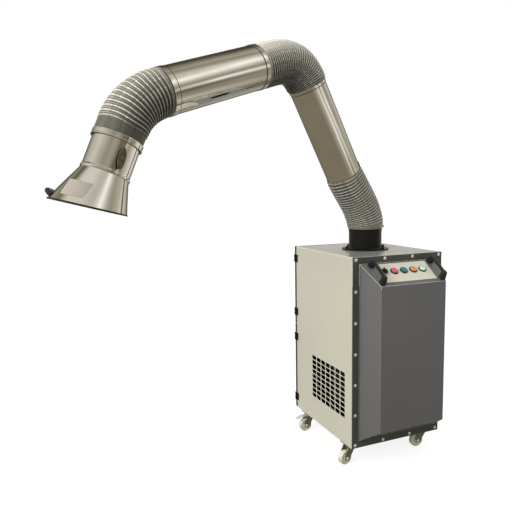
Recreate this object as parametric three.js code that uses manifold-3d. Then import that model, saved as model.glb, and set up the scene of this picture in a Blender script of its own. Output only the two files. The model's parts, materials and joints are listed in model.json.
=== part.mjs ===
// Mobile fume extractor: a filter cabinet on four casters with a jointed suction arm.
// Units are millimetres, +Z is up and the control side of the cabinet faces -Y.
// The origin is on the arm's swivel axis, at the underside of the cabinet's base tray.
import * as THREE from "three";
import { mergeVertices } from "three/addons/utils/BufferGeometryUtils.js";
import Module from "manifold-3d";

const wasm = await Module();
wasm.setup();

// ---------------------------------------------------------------- driving dimensions
const GAP = 0.3; // left between pieces that rest on each other
const SHEET = 2; // cabinet sheet steel

const CABINET = { width: 400, height: 720, front: -231, rear: 231 };
const FLANGE = 2.7; // thickness of the front cover's screw flange
const DOOR = { depth: 18, split: 380 }; // rear doors: folded depth, height of the seam
const BULGE = {
  depth: 97,
  back: { halfWidth: 172, bottom: 26, top: 694 },
  face: { halfWidth: 142, bottom: 90, top: 624 },
};
const VENT = { columns: 7, rows: 9, firstY: 70.5, pitchY: 38.4, topZ: 269.5, pitchZ: 20 };
const VENT_HOLE = { width: 28, height: 13.5, corner: 5 };

const PANEL = { halfWidth: 110, top: 9, bottom: 105, thick: 3 };
const CONTROL = { first: -94, pitch: 42, down: 52, hole: 11.25, bezel: 14.5, plunger: 10.2 };
const GRIP = { x: 131, top: 4, bottom: 116, height: 34, bar: 14, foot: 22 };

const CASTER = { x: 170, y: 167, wheel: 27, tread: 22, trail: 26, axle: -57 };

const DUCT = { collar: 66, flange: 94, wall: 3, seam: 70 };
const ARM_TURN = 195; // degrees from +X to the arm's outward direction
const SHOULDER = 93; // height of the shoulder pin above the cabinet
const LOWER = { length: 715, lean: 31, radius: 68, from: 215, to: 612 };
const UPPER = { length: 650, lean: 108.2, radius: 73, from: 194, to: 549, spigot: 25 };
const HOSE = { outer: 75, inner: 70.5 };
const TUBE_WALL = 1.5;
const PIN = { radius: 5, eye: 14, tongue: 4, slot: 4.7, cheek: 9.7 };

const HOOD = { lean: 156.4, neck: 68, top: 122, shoulder: 231, mouth: 332, rim: 105.5 };
const HOOD_WALL = 1.4;
const HOOD_SKEW = { shift: 12, tilt: 9, roll: 3.8 }; // rim moved outward, and turned in degrees
const BAND = { from: 120, to: 136, inner: 68.7, outer: 72 };
const DAMPER = { at: 185, radius: 65, lever: 58 };
const HANDLE_TURN = 217; // degrees around the neck to the hood's bow handle

const top = CABINET.height;
const half = CABINET.width / 2;
const degrees = THREE.MathUtils.degToRad;

// ---------------------------------------------------------------- geometry helpers
function solid(geometry) {
  const bare = geometry.index ? geometry.toNonIndexed() : geometry.clone();
  bare.deleteAttribute("normal");
  bare.deleteAttribute("uv");
  const merged = mergeVertices(bare, 1e-4);
  return new wasm.Manifold(
    new wasm.Mesh({
      numProp: 3,
      vertProperties: new Float32Array(merged.attributes.position.array),
      triVerts: new Uint32Array(merged.index.array),
    }),
  );
}

function geometryOf(body) {
  const mesh = body.getMesh();
  const geometry = new THREE.BufferGeometry();
  geometry.setAttribute("position", new THREE.BufferAttribute(mesh.vertProperties, 3));
  geometry.setIndex(new THREE.BufferAttribute(mesh.triVerts, 1));
  return geometry;
}

function join(...shapes) {
  return geometryOf(shapes.map(solid).reduce((a, b) => a.add(b)));
}

function cut(shape, ...tools) {
  return geometryOf(tools.map(solid).reduce((a, b) => a.subtract(b), solid(shape)));
}

function box(x0, x1, y0, y1, z0, z1) {
  const geometry = new THREE.BoxGeometry(x1 - x0, y1 - y0, z1 - z0);
  return geometry.translate((x0 + x1) / 2, (y0 + y1) / 2, (z0 + z1) / 2);
}

// A round bar along Z, or along Y or X, centred on (a, b) in the other two axes.
function barZ(radius, z0, z1, x = 0, y = 0, sides = 24) {
  const geometry = new THREE.CylinderGeometry(radius, radius, z1 - z0, sides);
  return geometry.rotateX(Math.PI / 2).translate(x, y, (z0 + z1) / 2);
}

function barY(radius, y0, y1, x = 0, z = 0, sides = 24) {
  const geometry = new THREE.CylinderGeometry(radius, radius, y1 - y0, sides);
  return geometry.translate(x, (y0 + y1) / 2, z);
}

function barX(radius, x0, x1, y = 0, z = 0, sides = 16) {
  const geometry = new THREE.CylinderGeometry(radius, radius, x1 - x0, sides);
  return geometry.rotateZ(Math.PI / 2).translate((x0 + x1) / 2, y, z);
}

// A closed profile of [radius, z] points turned around Z, in whichever order faces outwards.
function turned(profile, sides = 32) {
  const points = [...profile, profile[0]].map(([r, z]) => new THREE.Vector2(r, -z));
  if (THREE.ShapeUtils.area(points) < 0) points.reverse();
  return new THREE.LatheGeometry(points, sides).rotateX(-Math.PI / 2);
}

function pipe(outer, inner, z0, z1, sides = 32) {
  return turned([[outer, z0], [outer, z1], [inner, z1], [inner, z0]], sides);
}

// An outline of [x, z] points given thickness along Y, from y0 to y1.
function plateXZ(outline, y0, y1) {
  const shape = new THREE.Shape(outline.map(([x, z]) => new THREE.Vector2(x, z)));
  const geometry = new THREE.ExtrudeGeometry(shape, { depth: y1 - y0, bevelEnabled: false });
  return geometry.rotateX(Math.PI / 2).translate(0, y1, 0);
}

// An outline of [x, y] points given height along Z.
function plateXY(outline, z0, z1) {
  const shape = new THREE.Shape(outline.map(([x, y]) => new THREE.Vector2(x, y)));
  const geometry = new THREE.ExtrudeGeometry(shape, { depth: z1 - z0, bevelEnabled: false });
  return geometry.translate(0, 0, z0);
}

// A hollow hose whose centre line is a Bezier curve in the XZ plane.
function hose(start, startTurn, startPull, end, endTurn, endPull) {
  const along = (turn) => new THREE.Vector3(Math.sin(degrees(turn)), 0, Math.cos(degrees(turn)));
  const curve = new THREE.CubicBezierCurve3(
    start,
    start.clone().addScaledVector(along(startTurn), startPull),
    end.clone().addScaledVector(along(endTurn), -endPull),
    end,
  );
  const ring = new THREE.Shape().absarc(0, 0, HOSE.outer, 0, 2 * Math.PI);
  ring.holes.push(new THREE.Path().absarc(0, 0, HOSE.inner, 0, 2 * Math.PI, true));
  return new THREE.ExtrudeGeometry(ring, { steps: 8, curveSegments: 10, extrudePath: curve });
}

// ---------------------------------------------------------------- materials and pieces
function finish(color, roughness, metalness) {
  return () => new THREE.MeshStandardMaterial({ color, roughness, metalness });
}

const beige = finish(0xc8c8b7, 0.3, 0.0);
const greyPaint = finish(0x5c5c5d, 0.4, 0.0);
const black = finish(0x151513, 0.45, 0.0);
const zinc = finish(0xa9aba8, 0.4, 0.9);
const stainless = finish(0xb9b5aa, 0.15, 1.0);
const oliveSteel = finish(0x55564a, 0.4, 0.8);
const nylon = finish(0xcdcdaf, 0.5, 0.0);
const hoseGrey = finish(0x96968c, 0.7, 0.0);
const paper = finish(0xd8d4c4, 0.9, 0.0);
const charcoal = finish(0x2b2b2b, 0.9, 0.0);

const machine = new THREE.Group();

function piece(parent, name, geometry, material) {
  const mesh = new THREE.Mesh(geometry, material());
  mesh.name = name;
  parent.add(mesh);
  return mesh;
}

function place(parent, x, y, z) {
  const group = new THREE.Group();
  group.position.set(x, y, z);
  parent.add(group);
  return group;
}

// ---------------------------------------------------------------- cabinet
function ventHole(y, z) {
  const w = VENT_HOLE.width / 2;
  const h = VENT_HOLE.height / 2;
  const c = VENT_HOLE.corner;
  const outline = [[-w, c - h], [c - w, -h], [w - c, -h], [w, c - h]];
  const mirrored = outline.map(([a, b]) => [-a, -b]);
  const shape = plateXY([...outline, ...mirrored], -SHEET, SHEET);
  return shape.rotateZ(Math.PI / 2).rotateY(Math.PI / 2).translate(1 - half, y, z);
}

function cabinetShell() {
  const front = CABINET.front + FLANGE + GAP;
  const rear = CABINET.rear;
  const lip = 14;
  const sides = [-1, 1].flatMap((side) => {
    const [a, b] = [side * half, side * (half - SHEET)].sort((p, q) => p - q);
    const [c, d] = [side * half, side * (half - SHEET - lip)].sort((p, q) => p - q);
    return [box(a, b, front, rear, 0, top), box(c, d, rear - SHEET, rear, 24, top)];
  });
  const shell = join(box(-half, half, front, rear, top - SHEET, top), ...sides);
  const holes = [];
  for (let column = 0; column < VENT.columns; column++)
    for (let row = 0; row < VENT.rows; row++)
      holes.push(ventHole(VENT.firstY - VENT.pitchY * column, VENT.topZ - VENT.pitchZ * row));
  const inlet = barZ(DUCT.collar - DUCT.wall - 1, top - 10, top + 10, 0, 0, 32);
  return cut(shell, inlet, ...holes);
}

function tray() {
  const x = half - SHEET - 0.5;
  const y0 = CABINET.front + FLANGE + 1;
  const y1 = CABINET.rear - 3;
  const floor = 2.5;
  const seat = CASTER.x - 32; // the floor is stepped up outside this, where the casters bolt on
  const step = 0.7;
  return cut(
    box(-x, x, y0, y1, 0, 22),
    box(SHEET - x, x - SHEET, y0 + SHEET, y1 - SHEET, floor, 30),
    box(-x - 1, -seat, y0 - 1, y1 + 1, -1, step),
    box(seat, x + 1, y0 - 1, y1 + 1, -1, step),
  );
}

// A box whose two ends along Y are different rectangles.
function taper(y0, back, y1, face) {
  const geometry = new THREE.BoxGeometry(2, 2, 2);
  const position = geometry.attributes.position;
  for (let i = 0; i < position.count; i++) {
    const end = position.getY(i) > 0 ? back : face;
    const z = position.getZ(i) > 0 ? end.top : end.bottom;
    position.setXYZ(i, position.getX(i) * end.halfWidth, position.getY(i) > 0 ? y0 : y1, z);
  }
  return geometry;
}

function shrunk(end, by) {
  return { halfWidth: end.halfWidth - by, bottom: end.bottom + by, top: end.top - by };
}

function frontCover() {
  const y = CABINET.front;
  const wall = 2.5;
  const flange = box(-half, half, y, y + FLANGE, 0, top);
  const outer = taper(y + 1, BULGE.back, y - BULGE.depth, BULGE.face);
  const hollowFace = y + wall - BULGE.depth;
  const inner = taper(y + 10, shrunk(BULGE.back, wall + 1), hollowFace, shrunk(BULGE.face, wall + 1));
  const bores = [0, 1, 2, 3, 4].map((k) => controlBore(k, -30, 5));
  return cut(join(flange, outer), inner, ...bores);
}

// The control slope: local +Z stands out of the sloped face and -Y runs down it.
const slopeTurn = Math.atan2(BULGE.back.top - BULGE.face.top, BULGE.depth);

function onSlope(geometry) {
  return geometry.rotateX(slopeTurn).translate(0, CABINET.front, BULGE.back.top);
}

function controlX(k) {
  return CONTROL.first + CONTROL.pitch * k;
}

function controlBore(k, z0, z1) {
  return onSlope(barZ(CONTROL.hole, z0, z1, controlX(k), -CONTROL.down, 16));
}

function controlPlate() {
  const thick = PANEL.thick;
  const plate = box(-PANEL.halfWidth, PANEL.halfWidth, -PANEL.bottom, -PANEL.top, GAP, thick);
  const bezels = [0, 1, 2, 3, 4].map((k) =>
    barZ(CONTROL.bezel, thick - 1, thick + 5, controlX(k), -CONTROL.down, 16),
  );
  const bores = [0, 1, 2, 3, 4].map((k) => controlBore(k, -30, 30));
  return cut(onSlope(join(plate, ...bezels)), ...bores);
}

function plunger(k, height) {
  return onSlope(barZ(CONTROL.plunger, -18, height, controlX(k), -CONTROL.down, 16));
}

function selector() {
  const x = controlX(0);
  const y = -CONTROL.down;
  const lever = box(x - 3.5, x + 3.5, y - 13, y + 13, 9, 20);
  return onSlope(join(barZ(CONTROL.plunger, -18, 11, x, y, 16), lever));
}

function bowHandle(side) {
  const x = side * GRIP.x;
  const { top: a, bottom: b, height: h } = GRIP;
  const corner = 9;
  const shoulder = h * 0.72;
  const foot = 20;
  const under = h - 10;
  const outline = [[-b, GAP], [-b, shoulder], [corner - b, h], [-a - corner, h], [-a, shoulder], [-a, GAP],
    [-a - foot, GAP], [-a - foot, under], [foot - b, under], [foot - b, GAP]];
  const bow = (width) => {
    const shape = new THREE.Shape(outline.map(([y, z]) => new THREE.Vector2(y, z)));
    const geometry = new THREE.ExtrudeGeometry(shape, { depth: width, bevelEnabled: false });
    return geometry.rotateX(Math.PI / 2).rotateZ(Math.PI / 2).translate(x - width / 2, 0, 0);
  };
  const middle = box(x - foot, x + foot, 30 - b, -a - 30, -5, h + 5);
  const above = box(x - foot, x + foot, -b - 10, 10 - a, h - 9, h + 5);
  return onSlope(join(bow(GRIP.bar), cut(bow(GRIP.foot), middle, above)));
}

function addCabinet() {
  const front = CABINET.front;
  const inside = half - SHEET - 0.5;
  piece(machine, "cabinet_shell", cabinetShell(), beige);
  piece(machine, "base_tray", tray(), zinc);
  piece(machine, "front_cover", frontCover(), greyPaint);
  piece(machine, "inner_bulkhead", box(-inside, inside, front + 3.5, front + 5.5, 23, top - 3), zinc);
  piece(machine, "control_box", box(-100, 100, front - 60, front + 3, 300, 560), greyPaint);
  piece(machine, "control_plate", controlPlate(), beige);
  piece(machine, "front_handle_left", bowHandle(-1), black);
  piece(machine, "front_handle_right", bowHandle(1), black);
  piece(machine, "selector_switch", selector(), black);
  piece(machine, "stop_button", plunger(1, 10), finish(0xd86a78, 0.35, 0));
  piece(machine, "start_button", plunger(2, 10), finish(0x1f8a84, 0.35, 0));
  piece(machine, "purge_button", plunger(3, 10), finish(0xd98a55, 0.35, 0));
  piece(machine, "power_lamp", plunger(4, 11), finish(0xc3dccb, 0.2, 0));
}

// ---------------------------------------------------------------- filters and blower
const SHELF = 300;
const FAN = { x: 20, y: -10, small: 115, large: 165, bottom: 150, wall: 2.5, wheel: 96 };

function filterCase(z0, z1, lip) {
  const frame = box(-190, 190, -215, 215, z0, z1);
  const face = box(lip - 190, 190 - lip, lip - 215, 215 - lip, z1 - 6, z1 + 5);
  const back = box(lip - 190, 190 - lip, lip - 215, 215 - lip, z0 - 5, z0 + 6);
  return cut(frame, face, back);
}

// The fan scroll's outline, drawn in by an inset: a spiral that ends in a duct towards -X.
function scroll(inset, ductEnd) {
  const turnFrom = 250;
  const sweep = 340;
  const steps = 20;
  const outline = [];
  for (let i = 0; i <= steps; i++) {
    const angle = degrees(turnFrom - (sweep * i) / steps);
    const radius = FAN.small + ((FAN.large - FAN.small) * i) / steps - inset;
    outline.push([FAN.x + radius * Math.cos(angle), FAN.y + radius * Math.sin(angle)]);
  }
  outline.push([ductEnd, FAN.y - FAN.large + inset]);
  outline.push([ductEnd, FAN.y - FAN.large + 100 - inset]);
  return outline;
}

function fanHousing() {
  const floor = FAN.bottom;
  const roof = SHELF - 1;
  const outer = plateXY(scroll(0, -192), floor, roof);
  const inner = plateXY(scroll(FAN.wall, -200), floor + FAN.wall, roof - FAN.wall);
  const mouth = barZ(72, roof - 20, roof + 5, FAN.x, FAN.y, 24);
  return cut(outer, inner, mouth, barZ(10, floor - 5, floor + 5, FAN.x, FAN.y));
}

function fanWheel() {
  const blades = [];
  const count = 14;
  const floor = FAN.bottom + 10;
  for (let i = 0; i < count; i++) {
    const blade = box(70, FAN.wheel - 2, -1, 1, floor, floor + 116);
    blades.push(blade.rotateZ((2 * Math.PI * i) / count));
  }
  const wheel = join(
    barZ(FAN.wheel, floor - 3, floor + 1, 0, 0, 24),
    pipe(FAN.wheel, 68, floor + 114, floor + 118, 24),
    barZ(14, floor, floor + 30),
    barZ(6, FAN.bottom - 28, floor),
    ...blades,
  );
  return wheel.translate(FAN.x, FAN.y, 0);
}

function fanMotor() {
  const body = join(barZ(72, 34, FAN.bottom - 4), barZ(88, FAN.bottom - 4, FAN.bottom - 0.5));
  return cut(body, barZ(6.8, FAN.bottom - 32, FAN.bottom + 2)).translate(FAN.x, FAN.y, 0);
}

function addAirPath() {
  const inside = half - SHEET - 0.5;
  const plate = box(-inside, inside, CABINET.front + 6, CABINET.rear - 4, SHELF, SHELF + 3);
  piece(machine, "filter_shelf", cut(plate, barZ(70, SHELF - 5, SHELF + 9, FAN.x, FAN.y, 32)), zinc);
  piece(machine, "carbon_filter", filterCase(SHELF + 3.5, SHELF + 63, 12), charcoal);
  piece(machine, "main_filter", filterCase(SHELF + 63.5, SHELF + 300, 12), paper);
  piece(machine, "pre_filter", filterCase(SHELF + 300.5, SHELF + 326, 14), paper);
  piece(machine, "blower_housing", fanHousing(), zinc);
  piece(machine, "blower_impeller", fanWheel(), zinc);
  piece(machine, "blower_motor", fanMotor(), greyPaint);
  const ring = [[DUCT.collar - DUCT.wall, 0], [DUCT.flange, 0], [DUCT.flange, 5], [DUCT.collar, 5],
    [DUCT.collar, DUCT.seam], [DUCT.collar - DUCT.wall, DUCT.seam]];
  piece(machine, "inlet_collar", turned(ring, 28).translate(0, 0, top + GAP), black);
}

// ---------------------------------------------------------------- rear doors
const DOORS = [
  { name: "upper_door", bottom: DOOR.split + 1, top: top, hinges: [669, 435] },
  { name: "lower_door", bottom: 0, top: DOOR.split - 1, hinges: [324, 50] },
];
const HINGE = { x: -half - 4.6, y: CABINET.rear + 4.5, radius: 3.8, pin: 1.7, reach: 15.5 };
const LATCH_X = 172;

function doorPan(door) {
  const y0 = CABINET.rear + 0.5;
  const y1 = y0 + DOOR.depth;
  const x = half - GAP;
  const outer = box(-x, x, y0, y1, door.bottom, door.top);
  const inner = box(SHEET - x, x - SHEET, y0 - 5, y1 - SHEET, door.bottom + SHEET, door.top - SHEET);
  const bore = barY(6.6, y1 - 10, y1 + 10, LATCH_X, (door.bottom + door.top) / 2, 16);
  return cut(outer, inner, bore);
}

function fixedLeaf(z) {
  const { x, y, radius, pin, reach } = HINGE;
  const plate = box(-half - 3.1, -half - GAP, y - 17.5, y - 6, z - reach, z + reach);
  const arm = box(-half - 4, -half - 1, y - 7, y, z - reach, z - 0.4);
  const knuckle = barZ(radius, z - reach, z - 0.4, x, y, 10);
  return join(plate, arm, knuckle, barZ(pin, z - 5, z + reach - 1, x, y, 8));
}

function doorLeaf(z) {
  const { x, y, radius, pin, reach } = HINGE;
  const plate = box(-half - 3.1, -half, y + 6, y + 13.8, z - reach, z + reach);
  const arm = box(-half - 4, -half - 1, y, y + 7, z + 0.4, z + reach);
  const knuckle = barZ(radius, z + 0.4, z + reach, x, y, 10);
  return cut(join(plate, arm, knuckle), barZ(pin + 0.4, z - 20, z + 20, x, y, 8));
}

function latch(door) {
  const z = (door.bottom + door.top) / 2;
  const face = CABINET.rear + 0.5 + DOOR.depth;
  const knob = barY(16, face + GAP, face + 6, LATCH_X, z, 16);
  const grip = box(LATCH_X - 4, LATCH_X + 4, face + 5, face + 18, z - 14, z + 14);
  const shaft = barY(6, CABINET.rear - 5, face + 3, LATCH_X, z, 10);
  const cam = box(LATCH_X - 6, LATCH_X + 6, CABINET.rear - 6, CABINET.rear - 3, z - 6, z + 23);
  return join(knob, grip, shaft, cam);
}

function addDoors() {
  for (const door of DOORS) {
    piece(machine, door.name, doorPan(door), greyPaint);
    piece(machine, door.name + "_latch", latch(door), black);
    door.hinges.forEach((z, i) => {
      const label = door.name + "_hinge_" + (i + 1);
      piece(machine, label + "_fixed_leaf", fixedLeaf(z), black);
      piece(machine, label + "_door_leaf", doorLeaf(z), black);
    });
  }
}

// ---------------------------------------------------------------- casters
const CASTERS = [
  { name: "front_left", x: -1, y: -1, yaw: 190, brake: false },
  { name: "front_right", x: 1, y: -1, yaw: 176, brake: false },
  { name: "rear_left", x: -1, y: 1, yaw: 180, brake: true },
  { name: "rear_right", x: 1, y: 1, yaw: 184, brake: true },
];

function casterFork() {
  const { trail, axle } = CASTER;
  const leg = [[-16, -10.6], [17, -10.6], [trail + 9, axle + 8], [trail + 8, axle - 6],
    [trail, axle - 9], [trail - 8, axle - 5], [-6, -26]];
  return join(
    barZ(18, -13.5, -10.6, 0, 0, 16),
    plateXZ(leg, 14, 16.5),
    plateXZ(leg, -16.5, -14),
    barY(4, -19, 19, trail, axle, 10),
  );
}

function casterWheel() {
  const r = CASTER.wheel;
  const w = CASTER.tread / 2;
  const profile = [[4.4, -w - 1], [9, -w - 1], [10, -w], [r - 3, -w], [r, 4 - w],
    [r, w - 4], [r - 3, w], [10, w], [9, w + 1], [4.4, w + 1]];
  const wheel = turned(profile, 24).rotateX(Math.PI / 2);
  return wheel.translate(CASTER.trail, 0, CASTER.axle);
}

function brakePedal() {
  const outline = [[2, -15], [30, -17.5], [52, -21], [62, -27],
    [61, -29], [51, -23.2], [29, -19.6], [2, -17.2]];
  return join(plateXZ(outline, -12, 12), barY(1.8, -13.4, 13.4, 4, -16.2, 12));
}

function addCasters() {
  for (const caster of CASTERS) {
    const plateGroup = place(machine, caster.x * CASTER.x, caster.y * CASTER.y, 0);
    const plate = join(box(-31, 31, -26, 26, -2.8, -GAP), barZ(17, -10.2, -2, 0, 0, 16));
    piece(plateGroup, "caster_plate_" + caster.name, plate, zinc);
    const swivel = place(plateGroup, 0, 0, 0);
    swivel.rotation.z = degrees(caster.yaw);
    piece(swivel, "caster_fork_" + caster.name, casterFork(), oliveSteel);
    piece(swivel, "caster_wheel_" + caster.name, casterWheel(), nylon);
    if (caster.brake) piece(swivel, "brake_pedal_" + caster.name, brakePedal(), zinc);
  }
}

// ---------------------------------------------------------------- suction arm
// In every arm group +Z runs along the duct and Y is the direction of the pivot pins.
function fork(z) {
  const { radius, eye, slot, cheek } = PIN;
  const cheeks = [[slot, cheek], [-cheek, -slot]].flatMap(([a, b]) => [
    box(-eye, eye, a, b, z - 42, z),
    barY(eye, a, b, 0, z, 14),
  ]);
  return [...cheeks, box(-eye, eye, -cheek, cheek, z - 52, z - 40), barY(radius, -cheek, cheek, 0, z, 12)];
}

function link(length, crossBars, tongueOnly) {
  const { eye, tongue, radius } = PIN;
  const bar = box(-10, 10, -tongue, tongue, 0, tongueOnly ? length : length - 45);
  const bars = crossBars.flatMap(([z, reach]) => [
    barY(5, -reach, reach, 0, z, 8),
    barX(5, -reach, reach, 0, z, 8),
  ]);
  const bored = cut(join(barY(eye, -tongue, tongue, 0, 0, 14), bar), barY(radius + 0.6, -9, 9, 0, 0, 12));
  return join(bored, ...bars, ...(tongueOnly ? [] : fork(length)));
}

function swivelSleeve() {
  const { collar, wall, seam } = DUCT;
  const seat = seam + GAP + 0.3;
  const profile = [[collar - 6, seat - 45], [collar - wall - 0.6, seat - 45], [collar - wall - 0.6, seat],
    [collar, seat], [collar, seat + 22], [collar - 6, seat + 22]];
  return join(
    turned(profile, 28),
    box(6 - collar - 1, collar - 5, -8, 8, SHOULDER - 50, SHOULDER - 38),
    ...fork(SHOULDER),
  );
}

function stepTube() {
  const { from, to, radius, spigot } = UPPER;
  const neck = LOWER.radius;
  const w = TUBE_WALL;
  return turned([
    [neck, from - spigot], [neck, from - 2], [radius, from],
    [radius, to], [neck, to + 2], [neck, to + spigot],
    [neck - w, to + spigot], [neck - w, to + 2 - w], [radius - w, to - w], [radius - w, from + w],
    [neck - w, from - 2 + w], [neck - w, from - spigot],
  ], 28);
}

function wristRing() {
  const r = LOWER.radius;
  const w = TUBE_WALL;
  const { from, to, inner, outer } = BAND;
  const profile = [[r - w, from - 28], [r, from - 28], [r, from - 1], [outer, from - 1], [outer, to],
    [inner, to], [inner, from + 1], [r - w, from + 1]];
  return join(turned(profile, 28), link(104, [[102, r - 0.5]], true));
}

// Moves a point of the plain cone below the neck to its place on the skewed hood.
function skewed(x, y, z) {
  const slope = Math.tan(degrees(HOOD_SKEW.tilt));
  const roll = Math.tan(degrees(HOOD_SKEW.roll));
  const t = Math.max(0, (z - HOOD.shoulder) / (HOOD.mouth - HOOD.shoulder));
  return new THREE.Vector3(x - HOOD_SKEW.shift * t, y, z - slope * x * t + roll * y * t);
}

function skew(geometry) {
  const position = geometry.attributes.position;
  for (let i = 0; i < position.count; i++) {
    const point = skewed(position.getX(i), position.getY(i), position.getZ(i));
    position.setXYZ(i, point.x, point.y, point.z);
  }
  return geometry;
}

function hoodShell() {
  const { neck, top: start, shoulder, mouth, rim } = HOOD;
  const w = HOOD_WALL;
  const bead = 2.6; // height of the ridge at the top of the cone
  const shell = skew(turned([
    [neck - w, start], [neck, start], [neck, shoulder - 8],
    [neck + bead, shoulder - 5], [neck + bead, shoulder - 1], [neck + 1, shoulder + 2],
    [rim, mouth], [rim - w, mouth], [neck + 1 - w, shoulder + 2],
    [neck + bead - w, shoulder - 1.6], [neck + bead - w, shoulder - 4.6], [neck - w, shoulder - 8],
  ], 32));
  return cut(shell, barY(3.6, -100, 100, 0, DAMPER.at, 12));
}

function hoodRim() {
  const { mouth, rim } = HOOD;
  return skew(pipe(rim + 2.5, rim - 3.5, mouth + 0.5, mouth + 4, 32));
}

function hoodHandle() {
  const reach = 26;
  const spread = 42;
  const out = degrees(64);
  const base = new THREE.Vector3(HOOD.rim - 2, 0, HOOD.mouth - 10);
  const away = new THREE.Vector3(Math.sin(out), 0, -Math.cos(out));
  const point = (distance, y) => base.clone().addScaledVector(away, distance).setY(y);
  const path = new THREE.CatmullRomCurve3([
    point(5, -spread), point(reach - 9, -spread + 1), point(reach, -spread + 12),
    point(reach, 0), point(reach, spread - 12), point(reach - 9, spread - 1), point(5, spread),
  ]);
  const circle = new THREE.Shape().absarc(0, 0, 6, 0, 2 * Math.PI);
  const bow = new THREE.ExtrudeGeometry(circle, { steps: 14, curveSegments: 4, extrudePath: path });
  bow.rotateZ(degrees(HANDLE_TURN));
  const plain = base.clone().applyAxisAngle(new THREE.Vector3(0, 0, 1), degrees(HANDLE_TURN));
  const shift = skewed(plain.x, plain.y, plain.z).sub(plain);
  return bow.translate(shift.x, shift.y, shift.z);
}

function damper() {
  const { at, radius, lever } = DAMPER;
  const out = HOOD.neck + 8;
  const disc = barX(radius, -1, 1, 0, at, 32);
  const spindle = barY(3, -HOOD.neck - 4, out + 6, 0, at, 12);
  const grip = box(-7, 7, out, out + 5, at - lever / 2, at + lever / 2);
  return join(disc, spindle, grip);
}

function addArm() {
  const base = place(machine, 0, 0, top);
  base.rotation.z = degrees(ARM_TURN);
  piece(base, "swivel_sleeve", swivelSleeve(), black);

  const shoulder = place(base, 0, 0, SHOULDER);
  shoulder.rotation.y = degrees(LOWER.lean);
  const lowerTube = pipe(LOWER.radius, LOWER.radius - TUBE_WALL, LOWER.from, LOWER.to, 28);
  piece(shoulder, "lower_tube", lowerTube, stainless);
  const lowerReach = LOWER.radius - TUBE_WALL - 0.6;
  piece(shoulder, "lower_link", link(LOWER.length, [[240, lowerReach], [590, lowerReach]], false), zinc);

  const elbow = place(shoulder, 0, 0, LOWER.length);
  elbow.rotation.y = degrees(UPPER.lean - LOWER.lean);
  piece(elbow, "upper_tube", stepTube(), stainless);
  const upperReach = UPPER.radius - TUBE_WALL - 0.7;
  piece(elbow, "upper_link", link(UPPER.length, [[217, upperReach], [522, upperReach]], false), zinc);

  const wrist = place(elbow, 0, 0, UPPER.length);
  wrist.rotation.y = degrees(HOOD.lean - UPPER.lean);
  piece(wrist, "wrist_ring", wristRing(), stainless);
  piece(wrist, "hood", hoodShell(), stainless);
  piece(wrist, "hood_rim", hoodRim(), black);
  piece(wrist, "hood_handle", hoodHandle(), black);
  piece(wrist, "damper", damper(), oliveSteel);

  const along = (turn, distance) =>
    new THREE.Vector3(Math.sin(degrees(turn)) * distance, 0, Math.cos(degrees(turn)) * distance);
  const shoulderAt = new THREE.Vector3(0, 0, SHOULDER);
  const elbowAt = shoulderAt.clone().add(along(LOWER.lean, LOWER.length));
  const wristAt = elbowAt.clone().add(along(UPPER.lean, UPPER.length));
  const sleeveTop = new THREE.Vector3(0, 0, DUCT.seam + 14);
  const lowerStart = shoulderAt.clone().add(along(LOWER.lean, 246));
  const lowerEnd = shoulderAt.clone().add(along(LOWER.lean, 610));
  const upperStart = elbowAt.clone().add(along(UPPER.lean, UPPER.from - 3));
  const upperEnd = elbowAt.clone().add(along(UPPER.lean, UPPER.to + 3));
  const hoodStart = wristAt.clone().add(along(HOOD.lean, BAND.from - 2));
  piece(base, "lower_hose", hose(sleeveTop, 0, 82, lowerStart, LOWER.lean, 80), hoseGrey);
  piece(base, "elbow_hose", hose(lowerEnd, LOWER.lean, 126, upperStart, UPPER.lean, 97), hoseGrey);
  piece(base, "wrist_hose", hose(upperEnd, UPPER.lean, 97, hoodStart, HOOD.lean, 56), hoseGrey);
}

addCabinet();
addAirPath();
addDoors();
addCasters();
addArm();

export default machine;
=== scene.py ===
"""Looks of a mobile fume extractor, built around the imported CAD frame.

Pieces are modelled in millimetres, and piece() and hose() scale them to the frame's metres. Materials and the
studio are in metres."""

import json
import math

import bmesh
import bpy
from mathutils import Matrix, Vector

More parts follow.
